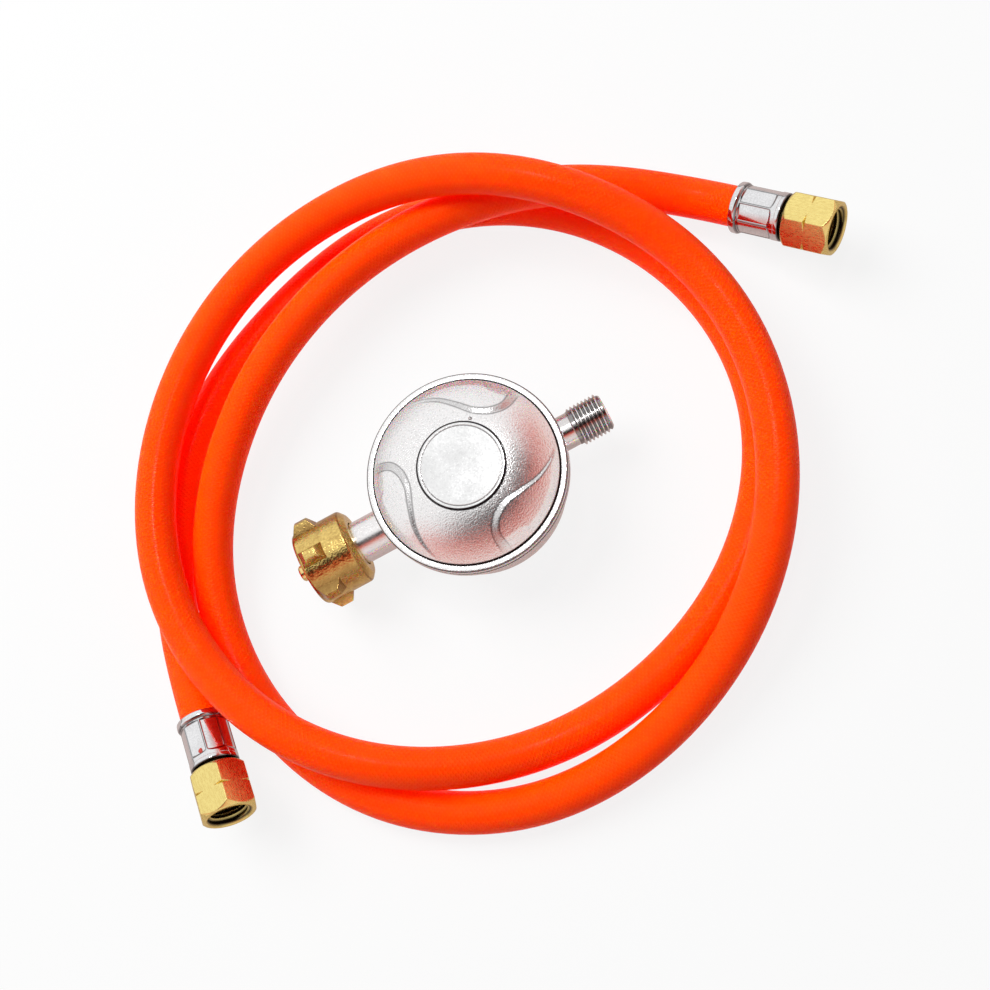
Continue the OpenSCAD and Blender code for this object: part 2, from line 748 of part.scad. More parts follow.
// Tail that the hose is crimped on, with the seat that the nut pulls home
module hose_tail(end) {
    barb = 3.2;
    barbs = 4;
    color("gold") on_end(end) difference() {
        turned(concat(
            [[0.6, 0], [0.6, tail_r - 0.5]],
            [for (i = [0 : barbs - 1]) each [[0.6 + i * barb, tail_r - 0.4], [0.6 + (i + 0.8) * barb, tail_r]]],
            [[ferrule_cap_u - gap / 2, tail_r - 0.4], [ferrule_cap_u - gap / 2, tail_neck_r],
             [head_u, tail_neck_r], [head_u, tail_head_r - 0.3], [head_u + 0.3, tail_head_r],
             [head_u + head_len, tail_head_r], [head_u + head_len + nose_len, tail_gas_r + 0.7],
             [head_u + head_len + nose_len, 0]]));
        bar(tail_gas_r, 0, nut_end, fine_fn);
    }
}

module union_nut(end, turn) {
    corner_r = nut_af / 2 / cos(30);
    mark_u = nut_u + nut_len / 2;
    face_r = nut_af / 2 - 0.2;
    color("gold") on_end(end) difference() {
        intersection() {
            translate([nut_u, 0, 0]) rotate([turn, 0, 0]) rotate([0, 90, 0])
                cylinder(h = nut_len, r = corner_r, $fn = 6);
            turned([[nut_u, 0], [nut_u, face_r], [nut_u + 1.1, corner_r + 0.3],
                    [mark_u - 0.7, corner_r + 0.3], [mark_u, corner_r - 0.6],
                    [mark_u + 0.7, corner_r + 0.3], [nut_end - 1.1, corner_r + 0.3],
                    [nut_end, face_r], [nut_end, 0]]);
        }
        bar(tail_neck_r + run, nut_u - 1, nut_u + nut_web + 1);
        bar(nut_thread_r + 0.25, nut_u + nut_web, nut_thread_u);
        bar(nut_thread_r, nut_thread_u - skin, nut_end - nut_lead);
        turned([[nut_end - nut_lead, 0], [nut_end - nut_lead, nut_thread_r],
                [nut_end + skin, nut_thread_r + nut_lead + skin], [nut_end + skin, 0]]);
    }
}

module ferrule_a() ferrule(end_a, turned_a[0]);
module ferrule_b() ferrule(end_b, turned_b[0]);
module hose_tail_a() hose_tail(end_a);
module hose_tail_b() hose_tail(end_b);
module union_nut_a() union_nut(end_a, turned_a[1]);
module union_nut_b() union_nut(end_b, turned_b[1]);

lower_body();
upper_cover();
label_cap();
adjusting_screw();
main_spring();
diaphragm();
diaphragm_plate();
diaphragm_washer();
diaphragm_rivet();
lever();
lever_pin();
valve_carrier();
valve_pad();
inlet_nozzle();
inlet_filter();
inlet_stem();
inlet_seal();
handwheel();
outlet_nipple();
hose();
ferrule_a();
ferrule_b();
hose_tail_a();
hose_tail_b();
union_nut_a();
union_nut_b();
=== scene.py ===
"""Looks of a caravan gas regulator and its coiled hose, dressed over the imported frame."""
import json
import logging
import math
from dataclasses import dataclass, field, replace
from enum import Enum
from functools import cache
from typing import Callable, Optional, Sequence

import bmesh
import bpy
import numpy as np
from mathutils import Matrix, Vector

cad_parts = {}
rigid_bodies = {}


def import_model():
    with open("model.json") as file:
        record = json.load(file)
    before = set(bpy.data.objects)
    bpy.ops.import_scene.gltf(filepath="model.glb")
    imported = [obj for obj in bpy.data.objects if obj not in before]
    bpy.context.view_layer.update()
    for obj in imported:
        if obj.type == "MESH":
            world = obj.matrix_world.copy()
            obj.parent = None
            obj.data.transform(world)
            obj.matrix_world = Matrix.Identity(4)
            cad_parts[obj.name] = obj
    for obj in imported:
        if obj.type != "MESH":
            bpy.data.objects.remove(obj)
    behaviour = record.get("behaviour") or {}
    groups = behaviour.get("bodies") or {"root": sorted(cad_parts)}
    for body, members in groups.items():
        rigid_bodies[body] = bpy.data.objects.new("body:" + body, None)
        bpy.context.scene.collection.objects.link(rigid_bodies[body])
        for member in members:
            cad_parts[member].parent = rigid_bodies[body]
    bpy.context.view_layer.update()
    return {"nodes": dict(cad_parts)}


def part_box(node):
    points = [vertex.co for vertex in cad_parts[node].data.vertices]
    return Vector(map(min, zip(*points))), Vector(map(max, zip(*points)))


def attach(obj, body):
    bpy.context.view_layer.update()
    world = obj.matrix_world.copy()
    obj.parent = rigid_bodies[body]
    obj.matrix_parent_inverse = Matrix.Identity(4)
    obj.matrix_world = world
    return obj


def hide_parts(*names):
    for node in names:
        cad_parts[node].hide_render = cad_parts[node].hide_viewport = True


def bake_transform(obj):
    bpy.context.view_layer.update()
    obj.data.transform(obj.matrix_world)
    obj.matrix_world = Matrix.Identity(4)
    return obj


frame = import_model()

log = logging.getLogger("regulator")
MM = 0.001
Colour = tuple[float, float, float]
Place = tuple[float, float, float]
Profile = Sequence[tuple[float, float]]
Value = float | bpy.types.NodeSocket
Moved = tuple[np.ndarray, np.ndarray]
Shape = Callable[[np.ndarray, np.ndarray, np.ndarray], Moved]
Depth = Callable[[np.ndarray, np.ndarray, np.ndarray], np.ndarray]
# Colour of painted shade: dark lines in seams, grooves, bores and thread roots, where shade falls.
PAINTED_SHADE_COLOUR = (0.02, 0.015, 0.017)


class Body(Enum):
    """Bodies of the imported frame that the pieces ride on."""

    REGULATOR = "regulator"
    DIAPHRAGM = "diaphragm_stack"
    LEVER = "lever_arm"
    VALVE = "valve"
    HANDWHEEL = "inlet_handwheel"
    HOSE = "hose_line"
    NUT_A = "nut_a"
    NUT_B = "nut_b"


class Slot(Enum):
    """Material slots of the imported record."""

    ZINC = "zinc_casting"
    LACQUER = "satin_lacquer"
    CAP = "cap_silver"
    BRASS = "machined_brass"
    SPRING = "spring_steel"
    RUBBER = "black_rubber"
    PLATED = "plated_steel"
    BRONZE = "sintered_bronze"
    CAST_BRASS = "cast_brass"
    NICKEL = "nickel_plate"
    HOSE = "orange_hose"
    CHROME = "bright_chrome"
    NUT_BRASS = "brushed_brass"


class Hand(Enum):
    """Hand of a screw thread."""

    RIGHT = 1
    LEFT = -1


# ---------- shader node groups and materials ----------


class Graph:
    """A thin wrapper round a node tree, to add and join nodes in one line."""

    def __init__(self, tree: bpy.types.NodeTree) -> None:
        """Keeps the tree. Args: tree: the node tree that is filled."""
        self.tree = tree

    def add(self, kind: str, links: Optional[dict] = None, **settings) -> bpy.types.Node:
        """Adds a node.

        Args:
            kind: the node's type name, such as ShaderNodeMath.
            links: value or output socket for each input, by name or index.
            settings: properties of the node.

        Returns:
            The new node.
        """
        node = self.tree.nodes.new(kind)
        for key, value in settings.items():
            setattr(node, key, value)
        for key, value in (links or {}).items():
            if isinstance(value, bpy.types.NodeSocket):
                self.tree.links.new(value, node.inputs[key])
            else:
                node.inputs[key].default_value = value
        return node

    def maths(self, operation: str, *values: Value, clamp: bool = False) -> bpy.types.NodeSocket:
        """Adds a Math node.

        Args:
            operation: the operation's name.
            values: numbers or sockets for its inputs.
            clamp: whether the result is held between 0 and 1.

        Returns:
            The result's socket.
        """
        node = self.add("ShaderNodeMath", dict(enumerate(values)), operation=operation,
                        use_clamp=clamp)
        return node.outputs[0]

    def fade(self, value: Value, low: float, high: float, a: float = 0.0,
             b: float = 1.0) -> bpy.types.NodeSocket:
        """Maps a value smoothly from one range to another.

        Args:
            value: the socket to map.
            low: value at the start of the range.
            high: value at its end.
            a: result at the start.
            b: result at the end.

        Returns:
            The result's socket.
        """
        node = self.add("ShaderNodeMapRange", {0: value, 1: low, 2: high, 3: a, 4: b},
                        interpolation_type="SMOOTHSTEP")
        return node.outputs[0]

    def tint(self, factor: Value, a: Colour | Value, b: Colour | Value,
             mode: str = "MIX") -> bpy.types.NodeSocket:
        """Mixes two colours.

        Args:
            factor: number or socket, 0 for the first colour.
            a: the first colour.
            b: the second colour.
            mode: how they blend.

        Returns:
            The mixed colour's socket.
        """
        node = self.tree.nodes.new("ShaderNodeMix")
        node.data_type, node.blend_type = "RGBA", mode
        for socket, value in ((node.inputs[0], factor), (node.inputs[6], a), (node.inputs[7], b)):
            if isinstance(value, bpy.types.NodeSocket):
                self.tree.links.new(value, socket)
            else:
                socket.default_value = (*value, 1.0) if isinstance(value, tuple) else value
        return node.outputs[2]


class Effects:
    """Shader node groups that several finishes share, each built once."""

    @classmethod
    def _new(cls, name: str, inputs: dict[str, float],
             outputs: Sequence[str]) -> tuple[Graph, dict, bpy.types.Node]:
        """Starts a group.

        Args:
            name: the group's name.
            inputs: default value of each input.
            outputs: name of each output.

        Returns:
            The graph, its input sockets by name and the output node.
        """
        tree = bpy.data.node_groups.new(name, "ShaderNodeTree")
        for key, value in inputs.items():
            socket = tree.interface.new_socket(key, in_out="INPUT", socket_type="NodeSocketFloat")
            socket.default_value = value
        for key in outputs:
            tree.interface.new_socket(key, in_out="OUTPUT", socket_type="NodeSocketFloat")
        graph = Graph(tree)
        entry = graph.add("NodeGroupInput")
        return graph, {k: entry.outputs[k] for k in inputs}, graph.add("NodeGroupOutput")

    @classmethod
    @cache
    def grain(cls) -> bpy.types.NodeTree:
        """Fine random grain: sand-cast skin, lacquer flake or moulded rubber.

        Returns:
            A group with the inputs Scale, Detail and Patch, and the outputs Height and Tone.
        """
        graph, entry, out = cls._new(
            "SurfaceGrain", {"Scale": 2000.0, "Detail": 2.0, "Patch": 90.0}, ("Height", "Tone"))
        place = graph.add("ShaderNodeTexCoord").outputs["Object"]
        fine = graph.add("ShaderNodeTexNoise", {"Vector": place, "Scale": entry["Scale"],
                                                "Detail": entry["Detail"]})
        broad = graph.add("ShaderNodeTexNoise", {"Vector": place, "Scale": entry["Patch"],
                                                 "Detail": 3.0})
        graph.tree.links.new(fine.outputs[0], out.inputs["Height"])
        mixed = graph.maths("ADD", graph.maths("MULTIPLY", fine.outputs[0], 0.5),
                            graph.maths("MULTIPLY", broad.outputs[0], 0.5))
        graph.tree.links.new(mixed, out.inputs["Tone"])
        return graph.tree

    @classmethod
    @cache
    def lines(cls) -> bpy.types.NodeTree:
        """Brushed or turned lines, long along one direction and fine across it.

        Returns:
            A group with the inputs Turn, Across and Along, and the outputs Height and Tone.
        """
        graph, entry, out = cls._new(
            "BrushedLines", {"Turn": 0.0, "Across": 4000.0, "Along": 90.0}, ("Height", "Tone"))
        place = graph.add("ShaderNodeTexCoord").outputs["Object"]
        turn = graph.add("ShaderNodeCombineXYZ", {2: entry["Turn"]})
        turned = graph.add("ShaderNodeVectorRotate",
                           {"Vector": place, "Rotation": turn.outputs[0]},
                           rotation_type="EULER_XYZ")
        size = graph.add("ShaderNodeCombineXYZ",
                         {0: entry["Along"], 1: entry["Across"], 2: entry["Across"]})
        scaled = graph.add("ShaderNodeVectorMath", {0: turned.outputs[0], 1: size.outputs[0]},
                           operation="MULTIPLY")
        noise = graph.add("ShaderNodeTexNoise", {"Vector": scaled.outputs[0], "Scale": 1.0,
                                                 "Detail": 2.0})
        graph.tree.links.new(noise.outputs[0], out.inputs["Height"])
        graph.tree.links.new(graph.fade(noise.outputs[0], 0.3, 0.7), out.inputs["Tone"])
        return graph.tree

    @classmethod
    @cache
    def braid(cls) -> bpy.types.NodeTree:
        """Crossed yarns of a hose's reinforcement, along the piece's own UV map.

        Returns:
            A group with the inputs Yarns and Lay, and the outputs Height and Yarn.
        """
        graph, entry, out = cls._new("HoseBraid", {"Yarns": 12.0, "Lay": 0.03},
                                     ("Height", "Yarn"))
        uv = graph.add("ShaderNodeUVMap", uv_map="UVMap")
        split = graph.add("ShaderNodeSeparateXYZ", {0: uv.outputs[0]})
        around = graph.maths("MULTIPLY", split.outputs[0], entry["Yarns"])
        along = graph.maths("DIVIDE", split.outputs[1], entry["Lay"])
        along = graph.maths("MULTIPLY", along, entry["Yarns"])
        waves = []
        for operation in ("ADD", "SUBTRACT"):
            phase = graph.maths("MULTIPLY", graph.maths(operation, around, along), math.tau)
            wave = graph.maths("SINE", phase)
            waves.append(graph.fade(wave, -0.2, 0.95))
        height = graph.maths("MAXIMUM", *waves)
        graph.tree.links.new(height, out.inputs["Height"])
        graph.tree.links.new(graph.maths("MULTIPLY", *waves), out.inputs["Yarn"])
        return graph.tree

    @classmethod
    @cache
    def seam_shade(cls) -> bpy.types.NodeTree:
        """Painted shade: a dark line along a round seam about the upright axis.

        Returns:
            A group with the inputs Radius and Half, in metres, and the output Line.
        """
        graph, entry, out = cls._new("RingSeamShade", {"Radius": 0.03, "Half": 0.0003}, ("Line",))
        place = graph.add("ShaderNodeTexCoord").outputs["Object"]
        split = graph.add("ShaderNodeSeparateXYZ", {0: place}).outputs
        flat = graph.add("ShaderNodeCombineXYZ", {0: split[0], 1: split[1]}).outputs[0]
        radius = graph.add("ShaderNodeVectorMath", {0: flat}, operation="LENGTH").outputs[1]
        away = graph.maths("ABSOLUTE", graph.maths("SUBTRACT", radius, entry["Radius"]))
        line = graph.fade(graph.maths("DIVIDE", away, entry["Half"]), 0.7, 1.1, 1.0, 0.0)
        graph.tree.links.new(line, out.inputs["Line"])
        return graph.tree

    @classmethod
    @cache
    def wear_and_shade(cls) -> bpy.types.NodeTree:
        """Polished edges, and painted shade that darkens and dulls the hollows, from how pointed the
        surface is.

        Returns:
            A group with the inputs Edge and Hollow, and two outputs: Rubbed, for polished edges, and
            the painted shade in the hollows.
        """
        graph, entry, out = cls._new("EdgeWearAndShade", {"Edge": 0.54, "Hollow": 0.46},
                                     ("Rubbed", "HollowShade"))
        pointed = graph.add("ShaderNodeNewGeometry").outputs["Pointiness"]
        place = graph.add("ShaderNodeTexCoord").outputs["Object"]
        noise = graph.add("ShaderNodeTexNoise", {"Vector": place, "Scale": 900.0, "Detail": 3.0})
        shaken = graph.maths("ADD", pointed, graph.maths(
            "MULTIPLY", graph.maths("SUBTRACT", noise.outputs[0], 0.5), 0.06))
        rubbed = graph.maths("MULTIPLY", graph.maths("SUBTRACT", shaken, entry["Edge"]), 14.0,
                             clamp=True)
        # Painted shade: darker in the hollows, where shade falls.
        painted_shade_depth = graph.maths("MULTIPLY", graph.maths("SUBTRACT", entry["Hollow"], shaken), 14.0,
                            clamp=True)
        graph.tree.links.new(rubbed, out.inputs["Rubbed"])
        graph.tree.links.new(painted_shade_depth, out.inputs["HollowShade"])
        return graph.tree


@dataclass(frozen=True)
class Finish:
    """A finish of one material slot. Subclasses fill in how it looks."""

    name: str
    slot: Slot
    colour: Colour
    roughness: float = 0.4

    def material(self) -> bpy.types.Material:
        """The finish's material, built on first use."""
        known = bpy.data.materials.get(self.name)
        if known is not None:
            return known
        made = bpy.data.materials.new(self.name)
        made.use_nodes = True
        graph = Graph(made.node_tree)
        skin = made.node_tree.nodes["Principled BSDF"]
        skin.inputs["Base Color"].default_value = (*self.colour, 1.0)
        skin.inputs["Roughness"].default_value = self.roughness
        self.dress(graph, skin)
        return made

    def dress(self, graph: Graph, skin: bpy.types.Node) -> None:
        """Adds the finish's own nodes. Args: graph: the material. skin: its Principled BSDF."""

    @staticmethod
    def effect(graph: Graph, tree: bpy.types.NodeTree, **values: float) -> bpy.types.Node:
        """Places a shared effect.

        Args:
            graph: the material's graph.
            tree: the effect's node group.
            values: its inputs, by name.

        Returns:
            The group node.
        """
        node = graph.tree.nodes.new("ShaderNodeGroup")
        node.node_tree = tree
        for key, value in values.items():
            node.inputs[key].default_value = value
        return node

    @staticmethod
    def with_painted_shade(graph: Graph, shade: bpy.types.NodeSocket, painted_shade: Colour) -> bpy.types.NodeSocket:
        """Paints shade into a colour where the piece's own painted-shade attribute says so.

        Args:
            graph: the material's graph.
            shade: socket of the clean colour.
            painted_shade: the colour of the painted shade.

        Returns:
            The colour with its painted shade.
        """
        share = graph.add("ShaderNodeAttribute", attribute_name="painted_shade").outputs["Fac"]
        return graph.tint(share, shade, painted_shade)

    @staticmethod
    def relief(graph: Graph, skin: bpy.types.Node, height: bpy.types.NodeSocket,
               depth: float) -> None:
        """Turns a height into a bump on the finish.

        Args:
            graph: the material's graph.
            skin: its Principled BSDF.
            height: socket of the height, from 0 to 1.
            depth: real depth of the relief, in metres.
        """
        bump = graph.add("ShaderNodeBump", {"Height": height, "Distance": depth,
                                            "Strength": 1.0})
        graph.tree.links.new(bump.outputs[0], skin.inputs["Normal"])


@dataclass(frozen=True)
class Metal(Finish):
    """Bare or plated metal, with its grain, its turned lines, its wear and painted shade in its
    hollows and where its own attribute says.
    """

    dark: Colour = (0.3, 0.3, 0.3)
    grain_scale: float = 1800.0
    grain_depth: float = 0.00001
    patch: float = 120.0
    spread: float = 0.08
    lines_turn: Optional[float] = None
    lines_across: float = 3500.0
    lines_depth: float = 0.00001
    edge: float = 0.54
    hollow: float = 0.46
    # Painted shade in the hollows, from how pointed the surface is.
    painted_shade_depth: float = 0.5
    brighten: float = 0.3
    # Colour of the painted shade that the piece's own attribute lays on.
    painted_shade: Colour = PAINTED_SHADE_COLOUR
    patina: float = 0.35

    def dress(self, graph: Graph, skin: bpy.types.Node) -> None:
        """Adds grain, lines, wear and painted shade. Args: graph: the material. skin: its Principled
        BSDF.
        """
        skin.inputs["Metallic"].default_value = 1.0
        grain = self.effect(graph, Effects.grain(), Scale=self.grain_scale, Patch=self.patch)
        wear_and_shade = self.effect(graph, Effects.wear_and_shade(), Edge=self.edge, Hollow=self.hollow)
        height = graph.maths("MULTIPLY", grain.outputs["Height"], self.grain_depth)
        tone = grain.outputs["Tone"]
        if self.lines_turn is not None:
            lines = self.effect(graph, Effects.lines(), Turn=self.lines_turn,
                                Across=self.lines_across)
            height = graph.maths("ADD", height, graph.maths(
                "MULTIPLY", lines.outputs["Height"], self.lines_depth))
            tone = graph.maths("MULTIPLY", graph.maths("ADD", tone, lines.outputs["Tone"]), 0.5)
        self.relief(graph, skin, height, 1.0)
        shade = graph.tint(graph.fade(tone, 0.3, 0.7, self.patina, 0.0), self.colour, self.dark)
        # Painted shade in the hollows.
        shade = graph.tint(graph.maths("MULTIPLY", wear_and_shade.outputs["HollowShade"], self.painted_shade_depth),
                           shade, self.dark)
        light = tuple(min(1.0, c * 1.25 + 0.04) for c in self.colour)
        shade = graph.tint(graph.maths("MULTIPLY", wear_and_shade.outputs["Rubbed"], self.brighten),
                           shade, light)
        # Painted shade, where the piece's own attribute says.
        shade = self.with_painted_shade(graph, shade, self.painted_shade)
        graph.tree.links.new(shade, skin.inputs["Base Color"])
        rough = graph.fade(tone, 0.25, 0.75, self.roughness - self.spread / 2,
                           self.roughness + self.spread / 2)
        rough = graph.maths("ADD", rough, graph.maths("MULTIPLY", wear_and_shade.outputs["HollowShade"], 0.12))
        graph.tree.links.new(rough, skin.inputs["Roughness"])


@dataclass(frozen=True)
class Lacquer(Finish):
    """Silver lacquer over a casting: fine flake under a satin film."""

    metallic: float = 0.8
    flake: float = 0.00002
    scale: float = 2000.0
    coat: float = 0.2
    coat_roughness: float = 0.18
    speckle: float = 0.5
    # Painted shade in the hollows.
    painted_shade_depth: float = 0.3
    # Painted shade lines along seams: radius and half width in millimetres, and depth from 0 to 1.
    seam_shades: tuple[tuple[float, float, float], ...] = ()

    def dress(self, graph: Graph, skin: bpy.types.Node) -> None:
        """Adds flake, film and painted shade: in the hollows, along the seams and where its attribute
        says. Args: graph: the material. skin: its Principled BSDF.
        """
        skin.inputs["Metallic"].default_value = self.metallic
        skin.inputs["Coat Weight"].default_value = self.coat
        skin.inputs["Coat Roughness"].default_value = self.coat_roughness
        grain = self.effect(graph, Effects.grain(), Scale=self.scale, Patch=140.0)
        wear_and_shade = self.effect(graph, Effects.wear_and_shade(), Hollow=0.44)
        self.relief(graph, skin, grain.outputs["Height"], self.flake)
        dull = tuple(c * (1 - self.speckle) for c in self.colour)
        shade = graph.tint(graph.fade(grain.outputs["Height"], 0.3, 0.5), dull, self.colour)
        # Painted shade in the hollows.
        shade = graph.tint(graph.maths("MULTIPLY", wear_and_shade.outputs["HollowShade"], self.painted_shade_depth), shade,
                           tuple(c * 0.45 for c in self.colour))
        # Painted shade along each seam.
        for radius, half, depth in self.seam_shades:
            seam_shade = self.effect(graph, Effects.seam_shade(), Radius=radius * MM, Half=half * MM)
            shade = graph.tint(graph.maths("MULTIPLY", seam_shade.outputs["Line"], depth), shade,
                               PAINTED_SHADE_COLOUR)
        # Painted shade, where the piece's own attribute says.
        shade = self.with_painted_shade(graph, shade, PAINTED_SHADE_COLOUR)
        graph.tree.links.new(shade, skin.inputs["Base Color"])
        graph.tree.links.new(graph.fade(grain.outputs["Tone"], 0.3, 0.7, self.roughness - 0.05,
                                        self.roughness + 0.06), skin.inputs["Roughness"])


@dataclass(frozen=True)
class Rubber(Finish):
    """Moulded black rubber with a faint bloom."""

    def dress(self, graph: Graph, skin: bpy.types.Node) -> None:
        """Adds the moulded grain. Args: graph: the material. skin: its Principled BSDF."""
        grain = self.effect(graph, Effects.grain(), Scale=2200.0, Patch=160.0)
        self.relief(graph, skin, grain.outputs["Height"], 0.00003)
        bloom = tuple(c + 0.03 for c in self.colour)
        graph.tree.links.new(graph.tint(graph.fade(grain.outputs["Tone"], 0.35, 0.7), self.colour,
                                        bloom), skin.inputs["Base Color"])
        skin.inputs["Specular IOR Level"].default_value = 0.35


@dataclass(frozen=True)
class HoseVinyl(Finish):
    """Orange vinyl of the gas hose, with its braid telegraphing through the skin, a painted red glow
    and painted colours for its reflections.
    """

    yarn_colour: Colour = (1.0, 0.12, 0.01)
    yarn_tint: float = 0.25
    yarns: float = 20.0
    lay: float = 0.03
    relief_depth: float = 0.00009
    skin_depth: float = 0.00002
    shine: float = 0.1
    # Painted glow: red emission that keeps the hose red on its shaded side; it is no lamp.
    glow: Colour = (1.0, 0.0, 0.0)
    painted_glow_level: float = 0.22
    painted_glow_mirrored: float = 0.14
    # Painted reflections: the hose's colour as other parts mirror it, dark red nearby and pale grey
    # further off.
    mirrored: Colour = (0.85, 0.03, 0.01)
    painted_reflection_within: float = 0.042
    painted_far_reflection: Colour = (0.85, 0.85, 0.85)
    scatter: float = 0.7
    scatter_reach: Colour = (1.0, 0.1, 0.01)
    scatter_depth: float = 0.006

    def dress(self, graph: Graph, skin: bpy.types.Node) -> None:
        """Adds braid, a painted glow and painted reflection colours. Args: graph: the material. skin:
        its Principled BSDF.
        """
        braid = self.effect(graph, Effects.braid(), Yarns=self.yarns, Lay=self.lay)
        grain = self.effect(graph, Effects.grain(), Scale=1500.0, Patch=60.0)
        yarns = graph.maths("MULTIPLY", braid.outputs["Height"], self.relief_depth)
        pores = graph.maths("MULTIPLY", grain.outputs["Height"], self.skin_depth)
        self.relief(graph, skin, graph.maths("ADD", yarns, pores), 1.0)
        shade = graph.tint(graph.maths("MULTIPLY", braid.outputs["Yarn"], self.yarn_tint),
                           self.colour, self.yarn_colour)
        # Painted reflections: glossy rays see the hose in other colours.
        rays = graph.add("ShaderNodeLightPath").outputs
        distant = graph.maths("GREATER_THAN", rays["Ray Length"], self.painted_reflection_within)
        distant = graph.maths("MULTIPLY", distant, rays["Is Glossy Ray"])
        shade = graph.tint(rays["Is Glossy Ray"], shade, self.mirrored)
        shade = graph.tint(distant, shade, self.painted_far_reflection)
        graph.tree.links.new(shade, skin.inputs["Base Color"])
        graph.tree.links.new(graph.fade(grain.outputs["Tone"], 0.3, 0.7, self.roughness - 0.04,
                                        self.roughness + 0.05), skin.inputs["Roughness"])
        # Painted glow, weaker in near reflections and none in far ones.
        direct = graph.maths("SUBTRACT", 1.0, rays["Is Glossy Ray"])
        near = graph.maths("SUBTRACT", rays["Is Glossy Ray"], distant)
        strength = graph.maths("ADD", graph.maths("MULTIPLY", direct, self.painted_glow_level),
                               graph.maths("MULTIPLY", near, self.painted_glow_mirrored))
        graph.tree.links.new(strength, skin.inputs["Emission Strength"])
        for key, value in (("Specular IOR Level", self.shine),
                           ("Emission Color", (*self.glow, 1.0)),
                           ("Subsurface Weight", self.scatter),
                           ("Subsurface Radius", self.scatter_reach),
                           ("Subsurface Scale", self.scatter_depth)):
            skin.inputs[key].default_value = value


@dataclass(frozen=True)
class DotPaint(Finish):
    """Inspection paint: a drop of red enamel."""

    def dress(self, graph: Graph, skin: bpy.types.Node) -> None:
        """Adds its uneven film. Args: graph: the material. skin: its Principled BSDF."""
        grain = self.effect(graph, Effects.grain(), Scale=1600.0, Patch=700.0)
        self.relief(graph, skin, grain.outputs["Tone"], 0.00008)
        graph.tree.links.new(graph.tint(grain.outputs["Tone"], self.colour,
                                        tuple(c * 0.4 for c in self.colour)),
                             skin.inputs["Base Color"])
        skin.inputs["Coat Weight"].default_value = 0.4


LOWER_PAINT = Lacquer("LowerShellPaint", Slot.ZINC, (0.84, 0.82, 0.82), 0.22, metallic=0.9,
                      speckle=0.15)
# Its seams are painted shade lines: at the dome's foot, round the rim's bead and at the cap's edge.
COVER_PAINT = Lacquer("CoverLacquer", Slot.LACQUER, (0.88, 0.87, 0.87), 0.24, metallic=0.9,
                      flake=0.00008, speckle=0.2,
                      seam_shades=((29.65, 0.3, 1.0), (31.72, 0.2, 0.85), (14.06, 0.16, 0.9)))
# Its seams are painted shade lines round its edge and along its rolled ring.
CAP_PAINT = Lacquer("SealingCapSilver", Slot.CAP, (0.8, 0.8, 0.8), 0.14, metallic=0.97,
                    flake=0.000003, speckle=0.06, painted_shade_depth=0.0, coat=0.0,
                    seam_shades=((13.76, 0.24, 1.0), (12.65, 0.15, 0.55)))
NICKEL = Metal("OutletNickel", Slot.NICKEL, (0.80, 0.78, 0.77), 0.2, dark=(0.35, 0.32, 0.31),
               grain_depth=0.000006, hollow=0.47, painted_shade_depth=0.7)
CHROME = Metal("FerruleChrome", Slot.CHROME, (0.86, 0.86, 0.87), 0.09, dark=(0.35, 0.34, 0.35),
               grain_depth=0.000002, spread=0.04, painted_shade_depth=0.3)
NUT_BRASS_A = Metal("NutBrassA", Slot.NUT_BRASS, (0.93, 0.76, 0.28), 0.3,
                    dark=(0.62, 0.42, 0.12), grain_depth=0.000004,
                    lines_turn=math.radians(44), lines_depth=0.000012, painted_shade_depth=0.4)
NUT_BRASS_B = replace(NUT_BRASS_A, name="NutBrassB", lines_turn=math.radians(92))
# Its stain colour is the brown of the painted shade that the handwheel's pattern lays on.
WHEEL_BRASS = Metal("HandwheelBrass", Slot.CAST_BRASS, (0.9, 0.66, 0.22), 0.22,
                    dark=(0.3, 0.13, 0.03), grain_scale=1400.0, grain_depth=0.00012,
                    patch=400.0, spread=0.14, edge=0.53, hollow=0.475, painted_shade_depth=0.85, patina=0.5,
                    painted_shade=(0.2, 0.06, 0.015))
TURNED_BRASS = Metal("TurnedBrass", Slot.BRASS, (0.90, 0.70, 0.30), 0.22,
                     dark=(0.5, 0.3, 0.1), grain_depth=0.000004, lines_turn=math.radians(90),
                     lines_depth=0.000006)
SPRING_WIRE = Metal("SpringWire", Slot.SPRING, (0.55, 0.56, 0.58), 0.28)
PLATED = Metal("PlatedSteel", Slot.PLATED, (0.66, 0.66, 0.66), 0.26)
BRONZE = Metal("SinteredBronze", Slot.BRONZE, (0.55, 0.34, 0.16), 0.6, dark=(0.2, 0.1, 0.04),
               grain_scale=2600.0, grain_depth=0.00008)
RUBBER = Rubber("SealRubber", Slot.RUBBER, (0.02, 0.02, 0.021), 0.55)
HOSE_VINYL = HoseVinyl("HoseVinyl", Slot.HOSE, (0.97, 0.072, 0.0), 0.2)
DOT_PAINT = DotPaint("InspectionRed", Slot.CHROME, (0.55, 0.03, 0.01), 0.35)


# ---------- meshes ----------


